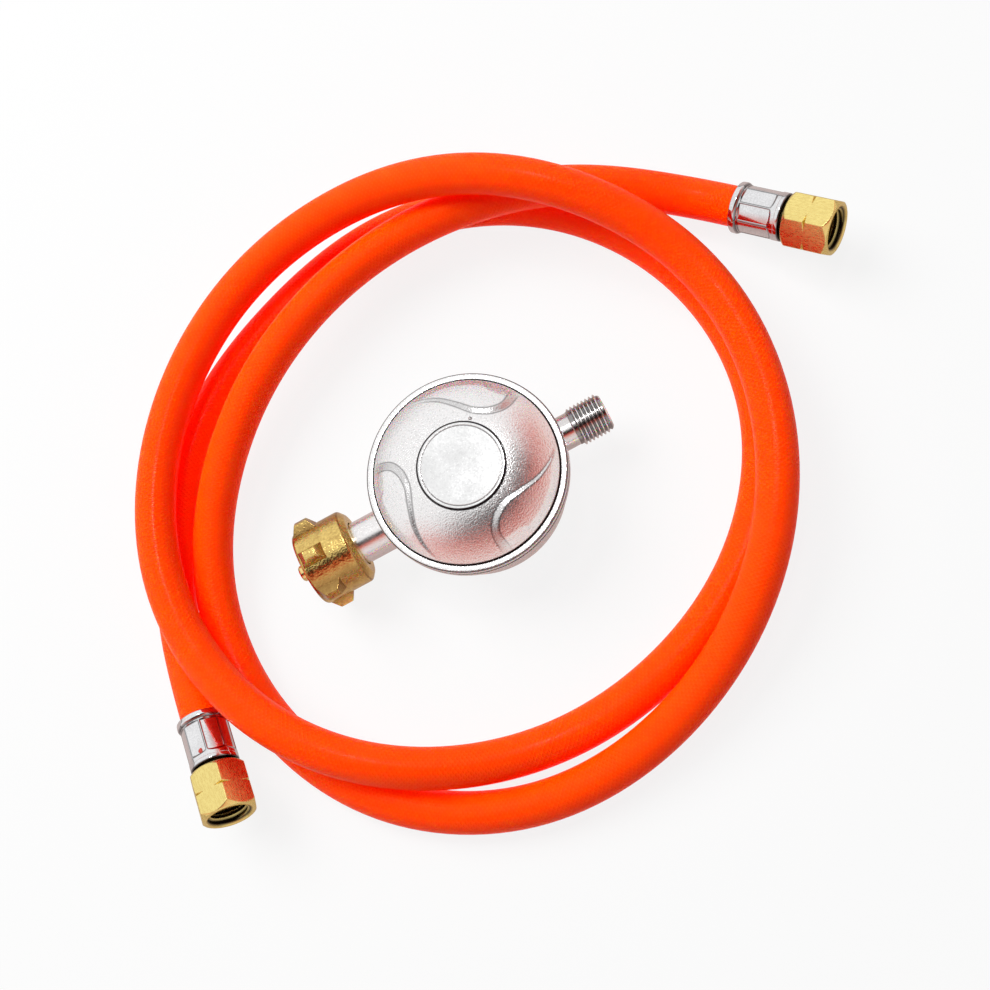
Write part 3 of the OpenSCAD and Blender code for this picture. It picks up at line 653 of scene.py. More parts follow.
def softened(corners: Sequence[tuple[float, float, float]], steps: int = 3) -> list:
    """Rounds the corners of a closed profile.

    Args:
        corners: (along, radius, fillet) of each corner; a fillet of 0 stays sharp.
        steps: number of steps in each fillet.

    Returns:
        The rounded profile's points.
    """
    points: list[tuple[float, float]] = []
    count = len(corners)
    for i, (x, y, fillet) in enumerate(corners):
        here = np.array([x, y])
        before = np.array(corners[i - 1][:2]) - here
        after = np.array(corners[(i + 1) % count][:2]) - here
        reach = min(fillet, 0.45 * np.linalg.norm(before), 0.45 * np.linalg.norm(after))
        if reach <= 0:
            points.append((x, y))
            continue
        start = here + before / np.linalg.norm(before) * reach
        end = here + after / np.linalg.norm(after) * reach
        for k in range(steps + 1):
            t = k / steps
            p = (1 - t) ** 2 * start + 2 * t * (1 - t) * here + t ** 2 * end
            points.append((float(p[0]), float(p[1])))
    return points


def revolved(profile: Profile, angles: np.ndarray,
             shape: Optional[Shape] = None) -> bmesh.types.BMesh:
    """Turns a closed profile round the X axis.

    Args:
        profile: (along, radius) of each point, in millimetres.
        angles: the angles of the rings, in radians, over one turn.
        shape: changes the points: takes angle, along and radius arrays, and returns along and
            radius arrays.

    Returns:
        The closed mesh, in metres.
    """
    pts = np.array(profile, float)
    phi = np.repeat(angles[:, None], len(pts), axis=1)
    along = np.repeat(pts[None, :, 0], len(angles), axis=0)
    radius = np.repeat(pts[None, :, 1], len(angles), axis=0)
    if shape is not None:
        along, radius = shape(phi, along, radius)
    xyz = np.stack([along, -radius * np.sin(phi), radius * np.cos(phi)], axis=-1) * MM
    mesh = bmesh.new()
    rows = [[mesh.verts.new(p) for p in row] for row in xyz]
    rings, count = len(rows), len(pts)
    on_axis = pts[:, 1] <= 1e-9
    for s in range(rings):
        a, b = rows[s], rows[(s + 1) % rings]
        for i in range(count):
            j = (i + 1) % count
            if on_axis[i] and on_axis[j]:
                continue
            mesh.faces.new((a[i], b[i], b[j], a[j]))
    bmesh.ops.remove_doubles(mesh, verts=mesh.verts[:], dist=1e-8)
    bmesh.ops.recalc_face_normals(mesh, faces=mesh.faces[:])
    return mesh


def turn_angles(count: int) -> np.ndarray:
    """Evenly spread angles over one turn."""
    return np.linspace(0.0, math.tau, count, endpoint=False)


def skinned(rings: Sequence[Sequence[Place]]) -> bmesh.types.BMesh:
    """Joins rings of points into one closed skin.

    Args:
        rings: the rings, in millimetres, all with as many points.

    Returns:
        The closed mesh, in metres, with a face over each end.
    """
    mesh = bmesh.new()
    rows = [[mesh.verts.new(Vector(point) * MM) for point in ring] for ring in rings]
    for a, b in zip(rows, rows[1:]):
        for k in range(len(a)):
            m = (k + 1) % len(a)
            mesh.faces.new((a[k], b[k], b[m], a[m]))
    mesh.faces.new(rows[0])
    mesh.faces.new(tuple(reversed(rows[-1])))
    bmesh.ops.recalc_face_normals(mesh, faces=mesh.faces[:])
    return mesh


def thread_ridge(wall: float, crest: float, pitch: float, start: float, end: float,
                 hand: Hand) -> bmesh.types.BMesh:
    """One screw thread as a ridge on a cylinder's wall, running out at both ends.

    Args:
        wall: radius of the wall that it stands on, in millimetres.
        crest: radius of its crest, larger than the wall outside and smaller in a bore.
        pitch: distance between turns.
        start: where it starts along X.
        end: where it ends along X.
        hand: the thread's hand.

    Returns:
        The closed mesh, in metres.
    """
    per_turn, run_out = 40, 10
    steps = int(per_turn * (end - start - pitch) / pitch)
    foot = wall - math.copysign(0.06, crest - wall)
    half, flank = pitch * 0.46, 0.18
    rings = []
    for i in range(steps + 1):
        centre = start + pitch / 2 + pitch * i / per_turn
        grow = min(1.0, i / run_out, (steps - i) / run_out)
        tip = foot + (crest - foot) * max(0.05, grow)
        phi = hand.value * math.tau * i / per_turn
        section = ((-half, foot), (-half * flank, tip), (half * flank, tip), (half, foot))
        rings.append([(centre + along, -radius * math.sin(phi), radius * math.cos(phi))
                      for along, radius in section])
    return skinned(rings)


def joined(parts: Sequence[bmesh.types.BMesh]) -> bmesh.types.BMesh:
    """Puts several meshes into the first one.

    Args:
        parts: the meshes; all but the first are freed.

    Returns:
        The first mesh, which now holds them all.
    """
    first = parts[0]
    for part in parts[1:]:
        loose = bpy.data.meshes.new("loose")
        part.to_mesh(loose)
        part.free()
        first.from_mesh(loose)
        bpy.data.meshes.remove(loose)
    return first


def smoothed(obj: bpy.types.Object, sharp_deg: float = 32.0) -> None:
    """Shades an object smooth, with sharp edges past an angle and flats kept flat.

    Args:
        obj: the mesh object.
        sharp_deg: angle in degrees past which an edge stays sharp.
    """
    obj.data.shade_smooth()
    obj.data.set_sharp_from_angle(angle=math.radians(sharp_deg))
    flats = obj.modifiers.new("flats", "WEIGHTED_NORMAL")
    flats.keep_sharp = True
    settle(obj)


def settle(obj: bpy.types.Object) -> None:
    """Replaces an object's mesh by its evaluated one and removes its modifiers."""
    graph = bpy.context.evaluated_depsgraph_get()
    made = bpy.data.meshes.new_from_object(obj.evaluated_get(graph), depsgraph=graph)
    made.name = obj.name
    obj.modifiers.clear()
    obj.data = made


def linked(name: str, mesh: bmesh.types.BMesh) -> bpy.types.Object:
    """Puts a mesh into the scene.

    Args:
        name: the object's name.
        mesh: its mesh, in metres; freed here.

    Returns:
        The new object, at the origin.
    """
    data = bpy.data.meshes.new(name)
    mesh.to_mesh(data)
    mesh.free()
    obj = bpy.data.objects.new(name, data)
    bpy.context.scene.collection.objects.link(obj)
    return obj


def solid(name: str, mesh: bmesh.types.BMesh, place: Matrix,
          sharp_deg: float = 32.0) -> bpy.types.Object:
    """Makes a shown object from a mesh, with its place in the mesh.

    Args:
        name: the piece's name.
        mesh: its mesh, in metres; freed here.
        place: moves it into the row frame.
        sharp_deg: angle past which an edge stays sharp.

    Returns:
        The new object, at the origin.
    """
    mesh.transform(place)
    obj = linked(name, mesh)
    smoothed(obj, sharp_deg)
    return obj


def painted_shade(obj: bpy.types.Object, place: Matrix, depth: Depth) -> None:
    """Writes how much painted shade each point of a turned piece gets.

    Args:
        obj: the piece.
        place: the matrix that moved it into the row frame.
        depth: takes the angle, the place along the axis and the radius of the points, in
            millimetres, and returns the painted shade from 0 to 1.
    """
    spots = np.zeros(len(obj.data.vertices) * 3)
    obj.data.vertices.foreach_get("co", spots)
    back = np.array(place.inverted())
    local = (spots.reshape(-1, 3) @ back[:3, :3].T + back[:3, 3]) / MM
    turn, radius = np.arctan2(-local[:, 1], local[:, 2]), np.hypot(local[:, 1], local[:, 2])
    held = obj.data.attributes.new("painted_shade", "FLOAT", "POINT")
    held.data.foreach_set("value", np.clip(depth(turn, local[:, 0], radius), 0, 1))


def hand_over(obj: bpy.types.Object, finish: Finish, body: Body,
              replaced: Sequence[str] = ()) -> None:
    """Gives a piece its finish, its body and the nodes that it stands for.

    Args:
        obj: the piece.
        finish: its finish.
        body: the body that it rides on.
        replaced: names of the CAD nodes that it replaces.
    """
    obj.data.materials.clear()
    obj.data.materials.append(finish.material())
    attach(obj, body.value)
    if replaced:
        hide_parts(*replaced)
    log.info("%s on %s, %d faces", obj.name, body.value, len(obj.data.polygons))


def dress_node(name: str, finish: Finish) -> None:
    """Gives a CAD node that keeps its own shape its finish.

    Args:
        name: the node's name.
        finish: its finish.
    """
    node = frame["nodes"][name]
    node.data.materials.clear()
    node.data.materials.append(finish.material())
    log.info("%s keeps its solid", name)


# ---------- geometry node trees ----------


class GeometryTree:
    """A geometry node tree with named sizes, run once on an object."""

    def __init__(self, name: str, sizes: dict[str, float | int]) -> None:
        """Starts the tree. Args: name: its name. sizes: its named inputs and their values."""
        self.tree = bpy.data.node_groups.new(name, "GeometryNodeTree")
        self.graph = Graph(self.tree)
        face = self.tree.interface
        face.new_socket("Geometry", in_out="INPUT", socket_type="NodeSocketGeometry")
        face.new_socket("Geometry", in_out="OUTPUT", socket_type="NodeSocketGeometry")
        self.values = sizes
        self.ids = {}
        for key, value in sizes.items():
            kind = "NodeSocketInt" if isinstance(value, int) else "NodeSocketFloat"
            self.ids[key] = face.new_socket(key, in_out="INPUT", socket_type=kind).identifier
        self.entry = self.graph.add("NodeGroupInput").outputs

    def close(self, geometry: bpy.types.NodeSocket, finish: Finish) -> None:
        """Ends the tree. Args: geometry: the result. finish: the material that it gets."""
        real = self.graph.add("GeometryNodeRealizeInstances", {0: geometry})
        painted = self.graph.add("GeometryNodeSetMaterial", {0: real.outputs[0]})
        painted.inputs["Material"].default_value = finish.material()
        self.graph.add("NodeGroupOutput", {0: painted.outputs[0]})

    def run(self, obj: bpy.types.Object) -> bpy.types.Object:
        """Runs the tree on an object and keeps the result as a plain mesh.

        Args:
            obj: the object that carries the tree's input; it is replaced.

        Returns:
            A mesh object of the same name.
        """
        name = obj.name
        modifier = obj.modifiers.new("tree", "NODES")
        modifier.node_group = self.tree
        for key, value in self.values.items():
            modifier[self.ids[key]] = value
        graph = bpy.context.evaluated_depsgraph_get()
        made = bpy.data.meshes.new_from_object(obj.evaluated_get(graph), depsgraph=graph)
        bpy.data.objects.remove(obj)
        made.name = name
        result = bpy.data.objects.new(name, made)
        bpy.context.scene.collection.objects.link(result)
        return result


# ---------- the hose and its ends ----------


@dataclass(frozen=True)
class HoseEnd:
    """Where an end of the hose leaves its ferrule, in millimetres, and its turns in degrees."""

    x: float
    y: float
    height: float
    heading: float
    rise: float
    crimp_turn: float
    nut_turn: float

    def mouth(self) -> np.ndarray:
        """The ferrule's open end, in millimetres."""
        return np.array([self.x, self.y, self.height])

    def direction(self) -> np.ndarray:
        """Unit vector from the hose to the nut."""
        turn, rise = math.radians(self.heading), math.radians(self.rise)
        return np.array([math.cos(turn) * math.cos(rise), math.sin(turn) * math.cos(rise),
                         math.sin(rise)])

    def frame(self) -> Matrix:
        """Moves a fitting built along X to this end, in metres."""
        return (Matrix.Translation(Vector(self.mouth() * MM))
                @ Matrix.Rotation(math.radians(self.heading), 4, "Z")
                @ Matrix.Rotation(-math.radians(self.rise), 4, "Y"))


END_A = HoseEnd(117.1, 41.0, 12.5, -50.5, 13.0, 12.0, 25.5)
END_B = HoseEnd(-113.4, -26.1, 12.5, -92.0, 13.0, -12.0, -23.0)


@dataclass
class HoseLine:
    """The hose itself: two and a half loose loops on the floor, a crossing at each end.

    A waypoint is a distance from the centre and a height, in millimetres, and the next one is
    turn_step degrees further round.
    """

    radius: float = 6.65
    inside: float = 15.1
    end_run: float = 20.0
    centre: tuple[float, float] = (-6.0, -0.6)
    first_turn: float = 48.0
    turn_step: float = 30.0
    waypoints: tuple[tuple[float, float], ...] = (
        (102, 26.3), (89, 19.5), (79.5, 20.5), (79, 17), (87.5, 9), (94, 6.8), (99.5, 6.8),
        (100.5, 6.8), (97.5, 10.5), (98.5, 21), (101, 21.5), (105, 19.5), (98, 43),
        (103.5, 29.5), (104.5, 22), (101.5, 21.5), (100.5, 21.5), (95.5, 22), (89, 21.5),
        (83.5, 6.8), (83.5, 6.8), (90.5, 6.8), (99.5, 6.8), (103, 6.8), (104, 6.8), (101, 6.8),
        (92, 6.8), (97.5, 6.8), (99, 6.8))
    steps: int = 14
    sides: int = 36

    def route(self) -> np.ndarray:
        """The hose's axis from end A to end B, in millimetres."""
        pull = (2 + math.cos(math.radians(self.turn_step))) / 3
        loops = []
        for i, (distance, height) in enumerate(self.waypoints):
            turn = math.radians(self.first_turn + i * self.turn_step)
            loops.append(np.array([self.centre[0] + distance / pull * math.cos(turn),
                                   self.centre[1] + distance / pull * math.sin(turn), height]))
        a, b = END_A, END_B
        controls = np.array(
            [a.mouth() + self.end_run * a.direction(), a.mouth(),
             a.mouth() - self.end_run * a.direction(), *loops,
             b.mouth() - self.end_run * b.direction(), b.mouth(),
             b.mouth() + self.end_run * b.direction()])
        points = [a.mouth() + self.inside * a.direction()]
        for i in range(len(controls) - 3):
            for t in np.arange(self.steps) / self.steps:
                weights = np.array([(1 - t) ** 3, 3 * t ** 3 - 6 * t ** 2 + 4,
                                    -3 * t ** 3 + 3 * t ** 2 + 3 * t + 1, t ** 3]) / 6
                points.append(weights @ controls[i:i + 4])
        points += [b.mouth(), b.mouth() + self.inside * b.direction()]
        return np.array(points)

    def tree(self) -> GeometryTree:
        """The geometry nodes that sweep a round tube along the route."""
        made = GeometryTree("HoseSweep", {"Radius": self.radius * MM, "Sides": self.sides})
        circle = made.graph.add("GeometryNodeCurvePrimitiveCircle",
                                {"Resolution": made.entry["Sides"],
                                 "Radius": made.entry["Radius"]})
        tube = made.graph.add("GeometryNodeCurveToMesh",
                              {"Curve": made.entry["Geometry"],
                               "Profile Curve": circle.outputs[0], "Fill Caps": True})
        smooth = made.graph.add("GeometryNodeSetShadeSmooth", {0: tube.outputs[0]})
        made.close(smooth.outputs[0], HOSE_VINYL)
        return made

    def build(self, fittings: Sequence[bpy.types.Object | str]) -> bpy.types.Object:
        """Args:
            fittings: the pieces on its ends; not used.

        Returns:
            The hose.
        """
        route = self.route() * MM
        line = bpy.data.curves.new("hose_route", "CURVE")
        line.dimensions = "3D"
        spline = line.splines.new("POLY")
        spline.points.add(len(route) - 1)
        for point, place in zip(spline.points, route):
            point.co = (*place, 1.0)
        carrier = bpy.data.objects.new("hose_tube", line)
        bpy.context.scene.collection.objects.link(carrier)
        hose = self.tree().run(carrier)
        self.unwrap(hose.data, route)
        hand_over(hose, HOSE_VINYL, Body.HOSE, ["hose"])
        return hose

    def unwrap(self, mesh: bpy.types.Mesh, route: np.ndarray) -> None:
        """Lays a UV map on the tube: turns round it, and metres along it.

        Args:
            mesh: the tube, ring after ring.
            route: its axis, in metres.
        """
        along = np.concatenate([[0.0], np.cumsum(np.linalg.norm(np.diff(route, axis=0), axis=1))])
        corner = np.zeros(len(mesh.loops), int)
        mesh.loops.foreach_get("vertex_index", corner)
        ring = np.minimum(corner // self.sides, len(route) - 1)
        u = (corner % self.sides) / self.sides
        v = along[ring]
        start = np.zeros(len(mesh.polygons), int)
        total = np.zeros(len(mesh.polygons), int)
        mesh.polygons.foreach_get("loop_start", start)
        mesh.polygons.foreach_get("loop_total", total)
        owner = np.repeat(np.arange(len(start)), total)
        highest = np.zeros(len(start))
        np.maximum.at(highest, owner, u)
        quad = total[owner] == 4
        u = np.where(quad & (highest[owner] - u > 0.5), u + 1.0, u)
        layer = mesh.uv_layers.get("UVMap") or mesh.uv_layers.new(name="UVMap")
        layer.data.foreach_set("uv", np.stack([u, v], axis=1).astype(np.float32).ravel())


@dataclass
class EndFitting:
    """One end of the hose: crimped ferrule, tail and union nut."""

    letter: str
    end: HoseEnd
    nut_body: Body
    nut_finish: Metal
    ferrule_len: float = 17.0
    ferrule_r: float = 7.8
    collar_r: float = 8.4
    hose_r: float = 6.67
    neck_r: float = 4.3
    crimp: float = 0.4
    flats: int = 8
    pocket_inset: float = 2.6
    nut_start: float = 18.0
    nut_len: float = 16.0
    nut_af: float = 17.0
    thread_start: float = 27.3
    thread_r: float = 6.65
    pitch: float = 1.337
    thread_depth: float = 0.8
    chamfer_slope: float = 0.92
    notch_half: float = 0.6
    notch_depth: float = 1.05
    notch_slope: float = 2.1
    dot: bool = False
    dot_r: float = 7.47
    dot_from_nut: float = 4.0
    dot_tilt: float = 4.0

    def ferrule(self) -> bpy.types.Object:
        """Makes the chromed ferrule, its flats pressed in between soft shoulders."""
        body, wall_end = self.ferrule_r, self.ferrule_len - 1.55
        outline = softened([
            (0.0, self.hose_r + 0.02, 0.1), (0.0, self.collar_r - 0.1, 0.25),
            (1.6, self.collar_r, 0.35), (2.5, body - 0.05, 0.3)])
        outline += [(x, body) for x in np.arange(2.7, self.ferrule_len - 1.7, 0.2)]
        outline += softened([
            (self.ferrule_len - 1.6, body, 0.1), (self.ferrule_len, body, 1.3),
            (self.ferrule_len, self.neck_r + 0.02, 0.1),
            (wall_end, self.neck_r + 0.02, 0.0), (wall_end, self.hose_r + 0.02, 0.0)])
        low, high = self.pocket_inset, self.ferrule_len - self.pocket_inset
        sector = math.tau / self.flats

        def pressing(phi: np.ndarray, along: np.ndarray) -> tuple[np.ndarray, np.ndarray]:
            """How far the dies press each point in, and its angle from the flat's middle."""
            off = phi % sector - sector / 2
            ridge = np.clip((sector / 2 - np.abs(off)) / math.radians(3.5), 0, 1)
            bow = np.sqrt(np.clip(1 - (off / (sector / 2)) ** 2, 0, 1))
            ease = (np.clip((along - low) / 0.8, 0, 1)
                    * np.clip((high - 0.9 * (1 - bow) - along) / 0.9, 0, 1))
            return ease * ease * (3 - 2 * ease) * ridge, off

        def press(phi: np.ndarray, along: np.ndarray, radius: np.ndarray) -> Moved:
            """Presses the flats into the outer wall."""
            ease, off = pressing(phi, along)
            flat = (body - self.crimp) * (0.45 / np.cos(off) + 0.55)
            pressed = np.minimum(radius, flat) * ease + radius * (1 - ease)
            outer = (radius > body - 0.3) & (along > low) & (along < high)
            return along, np.where(outer, pressed, radius)

        def painted_shade_depth(turn: np.ndarray, along: np.ndarray, radius: np.ndarray) -> np.ndarray:
            """Painted shade in the corners of the flats, at the collar's foot and at the ferrule's
            two ends.
            """
            ease, _ = pressing(turn, along)
            corner = 3.4 * ease * (1 - ease) * ((along > low) & (along < high))
            foot = np.exp(-((along - 2.15) / 0.3) ** 2) * (radius < self.collar_r - 0.2)
            ends = (along < 0.2) | (along > self.ferrule_len - 0.35)
            return 0.85 * np.maximum(np.maximum(corner, foot), ends)

        near = np.radians([0, 0.9, 1.8, 2.7, 3.5, 4.4, 6.5, 9.5, 13, 17])
        share = np.concatenate([near, [sector / 2], sector - near[:0:-1]])
        angles = np.concatenate([share + k * sector for k in range(self.flats)])
        turned = self.end.frame() @ Matrix.Rotation(math.radians(self.end.crimp_turn), 4, "X")
        made = solid(f"ferrule_{self.letter}_chromed", revolved(outline, angles, press), turned,
                     40.0)
        painted_shade(made, turned, painted_shade_depth)
        return made

    def nut_outside(self) -> list[tuple[float, float]]:
        """The nut's outer profile: chamfers at both ends, the notch in the middle.

        Returns:
            The points along the nut, past the corners where the hexagon cuts them back.
        """
        start, end = self.nut_start, self.nut_start + self.nut_len
        middle, flat = (start + end) / 2, self.nut_af / 2
        corner, edge = flat / math.cos(math.pi / 6), flat - 0.05
        chamfer, slope = 0.25, self.chamfer_slope
        notch = middle + np.arange(-self.notch_half, self.notch_half + 0.01, 0.06)
        outer = [(start, flat - 0.5), (start + chamfer, edge)]
        outer += [(x, edge + slope * (x - start - chamfer))
                  for x in np.arange(start + 0.4, start + 2.1, 0.12)]
        outer += [(x, corner + 1) for x in np.arange(start + 2.2, middle - 0.9, 0.5)]
        outer += [(x, corner - self.notch_depth + self.notch_slope * abs(x - middle))
                  for x in notch]
        outer += [(x, corner + 1) for x in np.arange(middle + 1.2, end - 2.2, 0.5)]
        outer += [(x, edge + slope * (end - chamfer - x))
                  for x in np.arange(end - 2.1, end - 0.3, 0.12)]
        return outer + [(end - chamfer, edge), (end, flat - 0.5)]

    def hexagon(self) -> bpy.types.Object:
        """Makes the union nut: chamfered hexagon, notched edges and a threaded mouth."""
        start, end = self.nut_start, self.nut_start + self.nut_len
        flat = self.nut_af / 2
        corner = flat / math.cos(math.pi / 6)
        outer = self.nut_outside()
        bore = softened([
            (end, self.thread_r + 0.75, 0.15), (end - 0.75, self.thread_r, 0.1),
            (self.thread_start, self.thread_r, 0.0), (self.thread_start, self.thread_r + 0.25, 0.0),
            (start + 2.6, self.thread_r + 0.25, 0.0), (start + 2.6, self.neck_r + 0.06, 0.1),
            (start, self.neck_r + 0.06, 0.1)])

        def hexed(phi: np.ndarray, along: np.ndarray, radius: np.ndarray) -> Moved:
            """Cuts the outer points back to the hexagon, with softly rounded edges."""
            sector = math.tau / 6
            off = (phi % sector) - sector / 2
            side = flat / np.cos(off)
            side = np.minimum(side, corner - 0.07 - 0.25 * np.maximum(0, np.abs(off) - 0.5))
            blend = 0.05
            cut = np.minimum(side, radius) - blend * np.exp(-np.abs(side - radius) / blend)
            outside = np.zeros_like(radius, bool)
            outside[:, :len(outer)] = True
            return along, np.where(outside, cut, radius)

        near = np.radians([0, 0.5, 1.0, 1.6, 2.4, 4, 7, 11, 16, 22])
        sector = np.concatenate([near, [math.pi / 6], math.pi / 3 - near[:0:-1]])
        angles = np.concatenate([sector + k * math.pi / 3 for k in range(6)])
        nut = revolved(outer + bore, angles, hexed)
        ridge = thread_ridge(self.thread_r, self.thread_r - self.thread_depth, self.pitch,
                             self.thread_start + 0.2, end - 0.5, Hand.LEFT)
        turned = self.end.frame() @ Matrix.Rotation(math.radians(self.end.nut_turn), 4, "X")
        made = solid(f"union_nut_{self.letter}_brass", joined([nut, ridge]), turned, 30.0)

        def painted_shade_depth(turn: np.ndarray, along: np.ndarray, radius: np.ndarray) -> np.ndarray:
            """Painted shade in the bore, deepest in the thread's roots, and against the ferrule."""
            inside = (radius < self.thread_r + 0.3) & (along < end - 0.3)
            root = (radius - self.thread_r + 0.7) / 0.7
            deep = (end - 2.0 - along) / 6.0
            back = (along < start + 0.2) & (radius < flat - 0.3)
            return np.where(inside, np.clip(np.maximum(root, deep), 0, 0.95), 0.8 * back)

        painted_shade(made, turned, painted_shade_depth)
        return made

    def paint_dot(self) -> bpy.types.Object:
        """Makes the inspection dot on the ferrule's shoulder."""
        mesh = bmesh.new()
        bmesh.ops.create_uvsphere(mesh, u_segments=20, v_segments=12, radius=1.0)
        for vert in mesh.verts:
            x, y, z = vert.co
            grow = 1 + 0.08 * math.sin(3 * math.atan2(y, x))
            vert.co = Vector((x * 0.85 * grow, y * 0.75 * grow, z * 0.2)) * MM
        tilt = Matrix.Rotation(math.radians(self.dot_tilt), 4, "X")
        lift = Matrix.Translation(
            Vector((self.ferrule_len - self.dot_from_nut, 0, self.dot_r)) * MM)
        return solid(f"ferrule_{self.letter}_dot", mesh, self.end.frame() @ tilt @ lift, 60.0)

    def build(self) -> list[bpy.types.Object | str]:
        """Makes and dresses this end.

        Returns:
            The pieces that belong to the hose line.
        """
        ferrule = self.ferrule()
        hand_over(ferrule, CHROME, Body.HOSE, [f"ferrule_{self.letter}"])
        nut = self.hexagon()
        hand_over(nut, self.nut_finish, self.nut_body, [f"union_nut_{self.letter}"])
        dress_node(f"hose_tail_{self.letter}", TURNED_BRASS)
        made = [ferrule, nut, frame["nodes"][f"hose_tail_{self.letter}"]]
        if self.dot:
            dot = self.paint_dot()
            hand_over(dot, DOT_PAINT, Body.HOSE)
            made.append(dot)
        return made


# ---------- the regulator ----------


@dataclass
class Cover:
    """The domed upper shell, with three S-shaped swirls raised in it, and the sealing cap."""

    base_h: float = 27.6
    rim_r: float = 32.0
    land_h: float = 30.0
    land_w: float = 2.6
    bead_r: float = 1.0
    groove_w: float = 0.5
    groove_depth: float = 0.4
    step_h: float = 0.6
    crown_h: float = 7.8
    crown_power: float = 2.6
    cap_r: float = 13.9
    cap_seat_r: float = 13.94
    cap_ledge_r: float = 10.9
    cap_t: float = 1.3
    wall: float = 2.4
    swirl_rise: float = 0.5
    swirl_starts: tuple[float, ...] = (30.5, 150.5, 270.5)
    swirl_line: tuple[tuple[float, float], ...] = (
        (0, 0.97), (-1, 0.82), (2, 0.72), (10, 0.64), (24, 0.615), (40, 0.69), (54, 0.81),
        (66, 0.91), (76, 0.985))
    # Painted shade on the swirls' slopes and along their edges.
    slope_shade: float = 0.25
    edge_shade: float = 0.7
    edge_width: float = 0.24
    vent_angle: float = 53.0
    vent_depth: float = 1.4
    vent_r: float = 0.55
    around: int = 720

    def crown(self, r: np.ndarray | float) -> np.ndarray | float:
        """Height of the dome at a radius."""
        dome = self.rim_r - self.land_w
        return self.land_h + self.step_h + self.crown_h * (1 - (r / dome) ** self.crown_power)

    def swirl_path(self) -> tuple[np.ndarray, np.ndarray, np.ndarray]:
        """Points of the first swirl's line, with its width and height.

        Returns:
            The points in the plane, the slope's width and the step's height at each.
        """
        dome = self.rim_r - self.land_w
        table = np.array(self.swirl_line, float)
        steps = np.linspace(0, 1, len(table))
        fine = np.linspace(0, 1, 160)
        turn = np.radians(smooth_curve(steps, table[:, 0], fine))
        radius = smooth_curve(steps, table[:, 1], fine) * dome
        points = np.stack([radius * np.cos(turn), radius * np.sin(turn)], axis=1)
        run = np.concatenate([[0], np.cumsum(np.linalg.norm(np.diff(points, axis=0), axis=1))])
        run /= run[-1]
        width = 2.7 * (1 - run) ** 1.1 + 0.55
        ease = np.clip((1.04 - run) / 0.3, 0, 1) * np.clip(0.35 + run / 0.1, 0, 1)
        return points, width, self.swirl_rise * ease

    def swirls(self, x: np.ndarray, y: np.ndarray) -> tuple[np.ndarray, np.ndarray]:
        """Rise of the swirls' panels over the dome.

        Args:
            x: positions across, in millimetres.
            y: positions up, in millimetres.

        Returns:
            The rise at each position, and the painted shade on the slopes and along their edges.
        """
        line, width, height = self.swirl_path()
        along = np.diff(line, axis=0)
        normal = np.stack([along[:, 1], -along[:, 0]], axis=1)
        normal /= np.linalg.norm(normal, axis=1)[:, None]
        normal = np.vstack([normal, normal[-1]])
        rise, foot = np.zeros_like(x), np.zeros_like(x)
        radius = np.hypot(x, y)
        dome = self.rim_r - self.land_w
        fade = np.clip((dome - radius) / 2.2, 0, 1) ** 0.7
        for start in self.swirl_starts:
            turn = math.radians(start)
            u = x * math.cos(turn) + y * math.sin(turn)
            v = -x * math.sin(turn) + y * math.cos(turn)
            angle = np.degrees(np.arctan2(v, u))
            near = (angle > -14) & (angle < 84) & (radius > 0.5 * dome)
            points = np.stack([u[near], v[near]], axis=1)
            gaps = ((points[:, None, :] - line[None, :, :]) ** 2).sum(axis=2)
            best = gaps.argmin(axis=1)
            side = ((points - line[best]) * normal[best]).sum(axis=1)
            share = np.clip(side / width[best] + 0.5, 0, 1)
            slope = self.slope_shade * np.clip(share * (1 - share) * 6, 0, 1)
            gap = (np.abs(side) - 0.45 * width[best]) / self.edge_width
            edges = self.edge_shade * np.exp(-gap ** 2)
            share = share * share * (3 - 2 * share)
            rise[near] = np.maximum(rise[near], share * height[best])
            held = np.maximum(slope, edges) * np.clip(height[best] / self.swirl_rise, 0, 1)
            foot[near] = np.maximum(foot[near], held)
        return rise * fade, foot * np.clip((dome - radius) / 1.2, 0, 1)

    def shell(self) -> bpy.types.Object:
        """Makes the upper shell as one closed skin round its axis."""
        dome = self.rim_r - self.land_w
        inner = self.rim_r - 6.0
        stations = np.linspace(dome - 0.15, self.cap_seat_r + 0.15, 66)
        outside = softened([
            (self.base_h, inner, 0.0), (self.base_h, self.rim_r - 0.4, 0.0),
            (self.base_h + 0.4, self.rim_r, 0.2), (self.land_h, self.rim_r, self.bead_r * 1.3),
            (self.land_h, dome + self.groove_w, 0.3), (self.land_h - self.groove_depth, dome, 0.1),
            (float(self.crown(dome)), dome, 0.2)], 5)
        first = len(outside)
        outside += [(float(self.crown(r)), float(r)) for r in stations]
        last = len(outside)
        seat_h = float(self.crown(self.cap_seat_r)) + 0.5 - self.cap_t
        outside += [(float(self.crown(self.cap_seat_r)) - 0.1, self.cap_seat_r),
                    (seat_h, self.cap_seat_r), (seat_h, self.cap_ledge_r)]
        outside += [(float(self.crown(r)) - self.wall, float(r))
                    for r in np.linspace(self.cap_ledge_r, inner - 1, 12)]
        outside += [(self.base_h + 1.0, inner)]
        angle, reach = math.radians(self.vent_angle), self.cap_seat_r + 1.2
        vent = (reach * math.cos(angle), reach * math.sin(angle))

